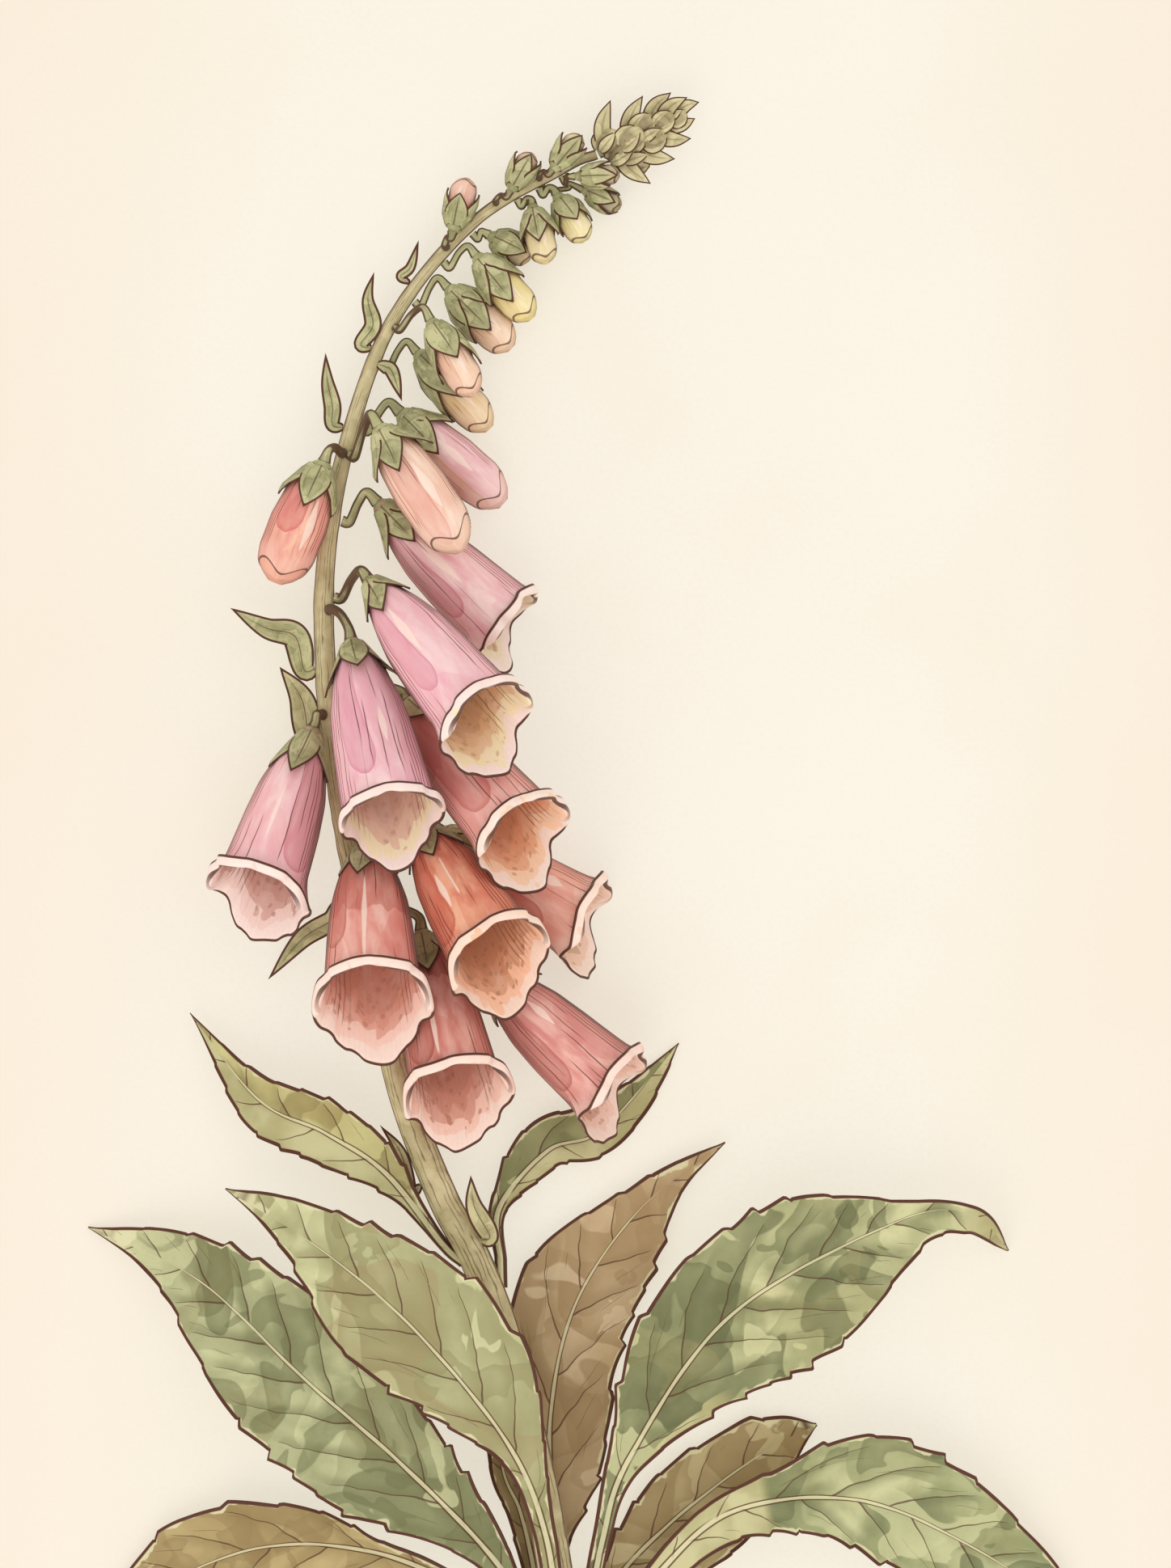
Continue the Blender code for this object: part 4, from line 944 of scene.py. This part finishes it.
# ---------------------------------------------------------------------------------------------
# Flowers
# ---------------------------------------------------------------------------------------------
class Flower:
    """The axis of a bell or bud, its length, and the directions round it."""

    def __init__(self, base, mouth, roll):
        self.base = np.array(base, dtype=float)
        self.axis = unit(np.array(mouth) - self.base)
        self.length = float(np.linalg.norm(np.array(mouth) - self.base))
        self.roll = math.radians(roll)
        level = unit(np.cross(UP, self.axis))
        upward = np.cross(self.axis, level)
        self.dorsal = math.cos(self.roll) * upward + math.sin(self.roll) * level
        self.side = np.cross(self.axis, self.dorsal)

    def points(self, along, angle, radius):
        """Points at distances along the axis, angles from the dorsal side and radii (arrays)."""
        along, angle, radius = np.broadcast_arrays(along, angle, radius)
        outward = np.cos(angle)[..., None] * self.dorsal + np.sin(angle)[..., None] * self.side
        return self.base + along[..., None] * self.axis + radius[..., None] * outward


def lobe(angle, centre, width):
    """A bump round an angle: one at its centre, nothing far from it."""
    far = np.abs((angle - centre + math.pi) % (2 * math.pi) - math.pi)
    return np.exp(-(far / width) ** 3)


def bell_reach(angle, number):
    """How far the rim reaches past the mouth: small lobes above, one on each flank, a long one below."""
    reach = -1.4 + 1.1 * (lobe(angle, 0.5, 0.36) + lobe(angle, -0.5, 0.36))
    reach = reach + 2.8 * (lobe(angle, 1.45, 0.55) + lobe(angle, -1.45, 0.55))
    reach = reach + 9.6 * lobe(angle, math.pi, 0.85)
    cut = lobe(angle, math.pi - 0.42, 0.13) + lobe(angle, math.pi + 0.48, 0.13)
    below = ramp(-np.cos(angle), -0.2, 0.6)
    return reach - 1.0 * cut + (0.3 + 0.45 * below) * np.sin(5 * angle + 1.9 * number)


def bell_rows(flower, tube, rim, letter, number, shares, angle):
    """Middle surface of a bell; shares run from the base, 0, to the edge of the rim, 1."""
    low = np.clip(shares / LIP_START, 0, 1)[:, None]
    flare = np.clip((shares - LIP_START) / (1 - LIP_START), 0, 1)[:, None]
    dorsal = np.cos(angle)[None]
    rolled = ramp(dorsal, -0.5, 0.35)
    back = ramp(dorsal, -0.05, 0.6)
    neck = NECK * flower.length - LIP_BACK[letter] * (0.55 + 0.45 * back)
    reach = flower.length + bell_reach(angle, number)[None] - LIP_BACK[letter] * back - neck
    forward = rolled * smooth_profile(LIP_FORWARD, flare) * (reach + 0.8) + (1 - rolled) * flare * reach
    outward = rolled * smooth_profile(LIP_OUTWARD, flare) + (1 - rolled) * flare ** 1.6
    along = neck * low + forward
    radius = tube * smooth_profile(TUBE_PROFILE, NECK * low)
    radius = radius * (1.0 - 0.06 * dorsal * np.sin(math.pi * low * NECK))
    outer = rim * (1.0 + 0.07 * np.sin(angle)[None] ** 2 - 0.03 * (dorsal < 0) * dorsal ** 2) - 0.5 * rolled
    notch = lobe(angle, 0.95, 0.14) + lobe(angle, -0.95, 0.14)
    notch = notch + lobe(angle, 2.2, 0.13) + lobe(angle, -2.2, 0.13)
    outer = outer - 0.9 * notch[None] + 0.25 * np.sin(3 * angle + number)[None]
    outer = outer - 0.9 * lobe(angle, 0.0, 0.22)[None] * rolled
    radius = radius + (outer - radius) * outward
    pleats = 0.12 * np.cos(10 * angle + number)[None]
    radius = radius + pleats * np.sin(math.pi * low) * (1 - flare)
    return flower.points(along, angle[None], radius), along


def build_bell(letter, number):
    base, mouth, roll, tube, rim, _ = BELLS[letter]
    flower = Flower(base, mouth, roll)
    angle = np.linspace(0, 2 * math.pi, BELL_COLUMNS, endpoint=False)
    shares = np.concatenate([[0.004], np.linspace(0.02, LIP_START, 46), np.linspace(0.73, 1.0, 30)])
    middle, along = bell_rows(flower, tube, rim, letter, number, shares, angle)
    wrapped = np.concatenate([middle[:, -1:], middle, middle[:, :1]], axis=1)
    normal = np.cross(np.gradient(wrapped, axis=1), np.gradient(wrapped, axis=0))[:, 1:-1]
    normal = rows_unit(normal)
    inward = np.einsum("ijk,ijk->ij", normal, middle - (flower.base + along[..., None] * flower.axis))
    normal *= np.sign(np.median(inward[10:40]))
    steps = np.linalg.norm(np.diff(middle, axis=0), axis=2)
    left_to_rim = np.concatenate([np.cumsum(steps[::-1], axis=0)[::-1], np.zeros((1, BELL_COLUMNS))])
    half = PETAL_HALF * np.ones((len(shares), 1))
    half[-2:] = [[0.24], [0.10]]
    floor_row = 12  # the inside of the bell ends here, above its solid base
    outer = middle + half[..., None] * normal
    inner = (middle - half[..., None] * normal)[floor_row:][::-1]
    part = along / flower.length
    turn = angle - flower.roll
    piece = Piece("foxglove_corolla_" + letter)
    rings = np.concatenate([outer, inner])
    under = np.concatenate([np.zeros((len(outer), 1)), np.ones((len(inner), 1))])
    part, left_to_rim = (np.concatenate([rows, rows[floor_row:][::-1]]) for rows in (part, left_to_rim))
    piece.rings(rings, along=part, cosine=np.cos(turn)[None], sine=np.sin(turn)[None], rim=left_to_rim,
                inside=under, across=np.cos(angle)[None], edge=FAR_EDGE)
    add_stamens(piece, flower, tube, 0.9 * flower.length - LIP_BACK[letter])
    name = "corolla_%s_skin" % letter
    skin = petal_material(name, BELL_TONES[letter], BELL_WASHES[letter], 3.0 + 7.3 * number)
    piece.build("corolla_" + letter, [skin, STAMEN])


def add_stamens(piece, flower, tube, length):
    """Four stamens and a style pressed against the upper wall of a bell."""
    for k, (swing, reach) in enumerate(((-0.5, 0.7), (0.5, 0.7), (-0.28, 0.8), (0.28, 0.8), (0.0, 0.88))):
        part = np.linspace(0.14, reach, 18)
        radius = tube * profile(TUBE_PROFILE, part) - 1.6
        path = flower.points(part * length, swing * (1.3 - 0.6 * part), radius)
        add_tube(piece, path, np.full(18, 0.34), 8, flower.dorsal, 1)
        if k < 4:
            end = np.linspace(-1, 1, 9)
            head = path[-1] + end[:, None] * (1.5 * flower.side + 0.2 * flower.axis)
            add_tube(piece, head, 0.12 + 0.75 * np.sqrt(np.clip(1 - end ** 2, 0, 1)), 10, flower.axis, 1)


def add_egg(piece, flower, radius, rows, columns):
    """A closed bud: its lips meet in a low step near the tip."""
    share = np.concatenate([[0.002], np.linspace(0.02, 0.999, rows)])[:, None]
    angle = np.linspace(0, 2 * math.pi, columns, endpoint=False)[None]
    readings = [profile(CLOSED_PROFILE, np.clip(share + shift, 0, 1)) for shift in (-0.02, 0, 0.02)]
    width = radius * sum(readings) / 3
    lip = 0.885 + 0.055 * np.cos(3 * (angle - flower.roll) + 0.7) + 0.02 * np.sin(2 * angle)
    swell, fall = ramp(share - lip, -0.22, -0.02), ramp(share - lip, -0.015, 0.015)
    width = width * (1 + 0.036 * swell - 0.066 * fall)
    width = width * (1 + 0.02 * np.cos(5 * angle))
    rings = flower.points(share * flower.length, angle, width)
    piece.rings(rings, along=share, cosine=np.cos(angle), sine=np.sin(angle),
                rim=(lip - share) * flower.length, edge=FAR_EDGE, across=np.cos(angle))


def stalk_path(letter, flower, where, count):
    """Centre line of a flower stalk: out of the stem, over an arch, into the back of the flower."""
    root = stem_place(*where, GAP + 0.1)
    out = stem_place(*where, GAP + 2.0)
    behind = flower.base - min(4.5, 0.45 * np.linalg.norm(flower.base - root)) * flower.axis
    arch = np.array(STALK_ARCHES.get(letter, (out + behind) / 2 + np.array([0.0, 1.0, 0.0])))
    end = flower.base - 0.9 * flower.axis
    return smooth_path([root, out, arch, behind, end], count)


def add_cup(piece, flower, width, stalk, slot):
    """The cup that holds a flower's base; width gives the flower's radius along its axis."""
    along = np.linspace(-1.0, 2.6, 10)
    body = width(np.clip(along, 0, None)) + 0.42
    start = np.clip((along + 1.0) / 1.4, 0.0, 1.0)
    cup = 1.2 * stalk + (body - 1.2 * stalk) * np.sin(start * math.pi / 2)
    angle = np.linspace(0, 2 * math.pi, 40, endpoint=False)
    rings = flower.points(along[:, None], angle[None], cup[:, None] * (1 + 0.03 * np.cos(5 * angle)[None]))
    returning = np.linspace(2.6, 0.4, 5)
    back = flower.points(returning[:, None], angle[None], (width(returning) + 0.12)[:, None])
    piece.rings(np.concatenate([rings, back]), slot, along=0.3, cosine=np.cos(angle)[None],
                sine=np.sin(angle)[None], edge=FAR_EDGE, mid=3.0, across=0.1)


def add_sepal(piece, flower, width, length, half, flick, slot, k, number):
    """One of the five pointed sepals, laid over the flower and opening a little at its tip."""
    centre = flower.roll + 2 * math.pi * k / SEPALS + 0.12 * math.sin(3.1 * k + number)
    grow = length * (1 + 0.13 * math.sin(2.3 * k + number))
    open_up = flick * (0.5 + 0.5 * math.sin(1.9 * k + 1.3 * number) + 0.15)
    share = np.linspace(0, 1, SEPAL_ROWS)
    across = np.sin(np.linspace(-math.pi / 2, math.pi / 2, SEPAL_COLUMNS))[None]
    shape = half * (0.55 * (1 - share) ** 1.5 + np.sin(math.pi * share ** 0.75) ** 0.85)
    shape = np.maximum(shape, 0.04)[:, None]
    reach = 0.6 + share * grow
    radius = (width(reach) + 0.55 + open_up * share ** 2.4)[:, None]
    lean = (0.5 * math.sin(2.7 * k + number) * share ** 2)[:, None] * flick * 0.8
    share, reach = share[:, None], reach[:, None]
    turn = centre + (across * shape + lean) / np.maximum(radius, 2.2)
    curve = radius + 0.16 * np.abs(across) * shape * share
    edge = np.minimum((1 - np.abs(across)) * shape, (1 - share) * 7 + 0.02)
    thin = 0.24 * (0.4 + 0.6 * (1 - across ** 2)) + 0 * share
    piece.blade(flower.points(reach, turn, curve), thin, slot, along=share, across=across, mid=across * shape,
                edge=edge)


def add_sepals(piece, letter, flower, width, length, half, flick, where, stalk, slot=0, number=0):
    """The green parts behind a flower: stalk, a small cup and five pointed sepals."""
    path = stalk_path(letter, flower, where, STALK_ROWS)
    thicker_end = 0.55 * np.linspace(0, 1, STALK_ROWS) ** 6
    thicker_foot = 0.25 * np.linspace(1, 0, STALK_ROWS) ** 5
    add_tube(piece, path, stalk * (1 + thicker_end + thicker_foot), 16, flower.dorsal, slot)
    add_cup(piece, flower, width, stalk, slot)
    for k in range(SEPALS):
        add_sepal(piece, flower, width, length, half, flick, slot, k, number)


def petal_width(flower, rows, radius):
    """The radius of a bell or bud as a function of the distance from its base."""
    return lambda along: radius * profile(rows, along / flower.length)


def build_flowers():
    for number, (letter, row) in enumerate(BELLS.items()):
        base, mouth, roll, tube, _, where = row
        build_bell(letter, number)
        flower = Flower(base, mouth, roll)
        piece = Piece("foxglove_calyx_" + letter)
        width = petal_width(flower, TUBE_PROFILE, tube)
        add_sepals(piece, letter, flower, width, 12.0, 3.1, 2.6, where, 1.15, number=number)
        piece.build("calyx_" + letter, [GREEN])
    for number, (letter, row) in enumerate(LARGE_BUDS.items()):
        base, tip, radius, where = row
        flower = Flower(base, tip, 0)
        piece = Piece("foxglove_corolla_" + letter)
        add_egg(piece, flower, radius, 56, 64)
        name = "corolla_%s_skin" % letter
        skin = petal_material(name, BELL_TONES[letter], BELL_WASHES[letter], 50.0 + number, closed=True)
        piece.build("corolla_" + letter, [skin])
        piece = Piece("foxglove_calyx_" + letter)
        width = petal_width(flower, BUD_PROFILE, radius)
        add_sepals(piece, letter, flower, width, 11.5, 3.2, 2.4, where, 1.1, number=20 + number)
        piece.build("calyx_" + letter, [GREEN])
    for number, (letter, row) in enumerate(BUDS.items()):
        base, tip, radius, where = row
        flower = Flower(base, tip, 0)
        piece = Piece("foxglove_bud_" + letter)
        add_egg(piece, flower, radius, 40, 48)
        share = 0.62 if letter not in "svwxy" else 0.8
        stalk = 0.9 if radius > 3 else 0.7
        width = petal_width(flower, BUD_PROFILE, radius)
        add_sepals(piece, letter, flower, width, share * flower.length, 0.74 * radius, 0.8, where, stalk,
                   slot=1, number=30 + number)
        pale, middle, deep = BUD_TONES[letter]
        tones = (pale, middle, deep, deep, middle)
        skin = petal_material("bud_%s_skin" % letter, tones, PLAIN_WASH, 80.0 + number, closed=True)
        piece.build("bud_" + letter, [skin, GREEN])


def build_tip():
    piece = Piece("foxglove_tip_cluster")
    path = smooth_path(TIP_LINE, 40)
    add_tube(piece, path, np.linspace(1.4, 0.8, 40), 16, UP)
    for k, (centre, radius) in enumerate(TIP_BUDS):
        away = np.array([0.8, 0.6, 0.0]) + 0.35 * unit(np.array(centre) - np.array([16.0, 183.5, 7.0]))
        middle = np.array(centre)
        flower = Flower(middle - 1.3 * radius * unit(away), middle + 1.3 * radius * unit(away), 0)
        add_egg(piece, flower, radius * 0.98, 20, 32)
        for j in range(4):
            angle = j * math.pi / 2 + 0.4 * k
            share = np.linspace(0, 1, 20)
            reach = share * flower.length * 0.95
            over = petal_width(flower, BUD_PROFILE, radius)(reach) + 0.12
            points = flower.points(reach, np.full(20, angle), over)
            add_blade(piece, points, radius * 0.55, 9, 0.16, 0.0)
    for k, (base, tip, half) in enumerate(TIP_BRACTS):
        base, tip = np.array(base, dtype=float), np.array(tip, dtype=float)
        across = unit(np.cross(tip - base, UP))
        middle = (base + tip) / 2 + np.array([0.0, 0.0, 1.3]) - across * 0.9 * (1 if k < 5 else -1)
        add_blade(piece, smooth_path([base, middle, tip], 34), half * 1.25, 15, 0.26, 0.22)
    piece.build("tip_cluster", [YOUNG_GREEN])


def build_bracts():
    for letter, (where, points, half) in BRACTS.items():
        piece = Piece("foxglove_bract_" + letter)
        feet = [stem_place(*where, 0.05), stem_place(*where, GAP + 2.4)]
        add_blade(piece, smooth_path(feet + points, 60), half * 1.05, 21, 0.38, 0.3)
        piece.build("bract_" + letter, [PALE_GREEN if letter in "fhi" else GREEN])


# ---------------------------------------------------------------------------------------------
# Floor, light and camera
# ---------------------------------------------------------------------------------------------
def build_floor():
    """Cream paper that gives off part of its light, so that shadows on it stay faint."""
    mesh = bpy.data.meshes.new("floor")
    corners = [(x * FLOOR_HALF, y * FLOOR_HALF, 0) for x, y in ((-1, -1), (1, -1), (1, 1), (-1, 1))]
    mesh.from_pydata(corners, [], [(0, 1, 2, 3)])
    floor = bpy.data.objects.new("floor", mesh)
    bpy.context.scene.collection.objects.link(floor)
    p = Paint("floor_paper")
    place = p.place()
    grain = p.noise(place, 0.9, 3.0, 0.6)
    colour = p.mix(p.noise(place, 0.012, 3.0, 0.5).step(0.35, 0.7), linear(PAPER), linear(PAPER_CLOUD))
    colour = p.mix(grain.step(0.4, 0.8) * 0.25, colour, linear(PAPER_GRAIN))
    to_side = abs(p.node("SeparateXYZ", 0, {0: place}))
    colour = p.mix(to_side.step(70.0, 160.0) * 0.6, colour, linear(PAPER_SIDE))
    p.put(p.shader.inputs["Emission Color"], colour)
    p.put(p.shader.inputs["Emission Strength"], 0.64)
    mesh.materials.append(p.finish(p.mix(0.68, colour, linear("000000")), grain, 0.9, 0.05))
    floor.location = (0, 0, CAD_LOW[2])


def build_lights():
    world = bpy.data.worlds.new("studio")
    bpy.context.scene.world = world
    world.use_nodes = True
    background = world.node_tree.nodes["Background"]
    background.inputs["Color"].default_value = (1.0, 0.985, 0.965, 1.0)
    background.inputs["Strength"].default_value = 0.90
    for name, spot, power in (("key", (-0.35, -0.85, 1.0), 5.4), ("fill", (0.7, 0.6, 1.2), 1.8)):
        data = bpy.data.lights.new(name, "AREA")
        data.size = 1.2
        data.energy = power
        data.color = (1.0, 0.97, 0.93)
        lamp = bpy.data.objects.new(name, data)
        lamp.location = spot
        lamp.rotation_euler = (-Vector(spot)).to_track_quat("-Z", "Y").to_euler()
        bpy.context.scene.collection.objects.link(lamp)


def build_camera():
    """Looks straight down; the frame shows the shoot from just above its cut foot to above its tip."""
    data = bpy.data.cameras.new("camera")
    data.lens = 120
    data.sensor_width = 36
    distance = VIEW_HEIGHT * MM * data.lens / data.sensor_width
    camera = bpy.data.objects.new("camera", data)
    centre = (np.array(VIEW_CENTRE + (10.0,)) - PLAN_MIDDLE) * MM + ROW_MIDDLE
    camera.location = (centre[0], centre[1], centre[2] + distance)
    camera.rotation_euler = (0, 0, 0)
    data.clip_start = 0.01
    data.clip_end = 10
    bpy.context.scene.collection.objects.link(camera)
    bpy.context.scene.camera = camera
    bpy.context.scene.view_settings.view_transform = "Standard"


def plain_material(name, colour, roughness):
    p = Paint(name)
    p.shader.inputs["Base Color"].default_value = linear(colour)
    p.shader.inputs["Roughness"].default_value = roughness
    return p.material


GREEN = green_material("sepal_skin", GREEN_TONES, 5.0)
YOUNG_GREEN = green_material("young_skin", YOUNG_TONES, 9.0, 0.6)
PALE_GREEN = green_material("bract_skin", BRACT_TONES, 12.0)
STAMEN = plain_material("stamen_skin", STAMEN_TONE, 0.5)
build_stem()
build_leaves()
build_flowers()
build_tip()
build_bracts()
build_floor()
build_lights()
build_camera()
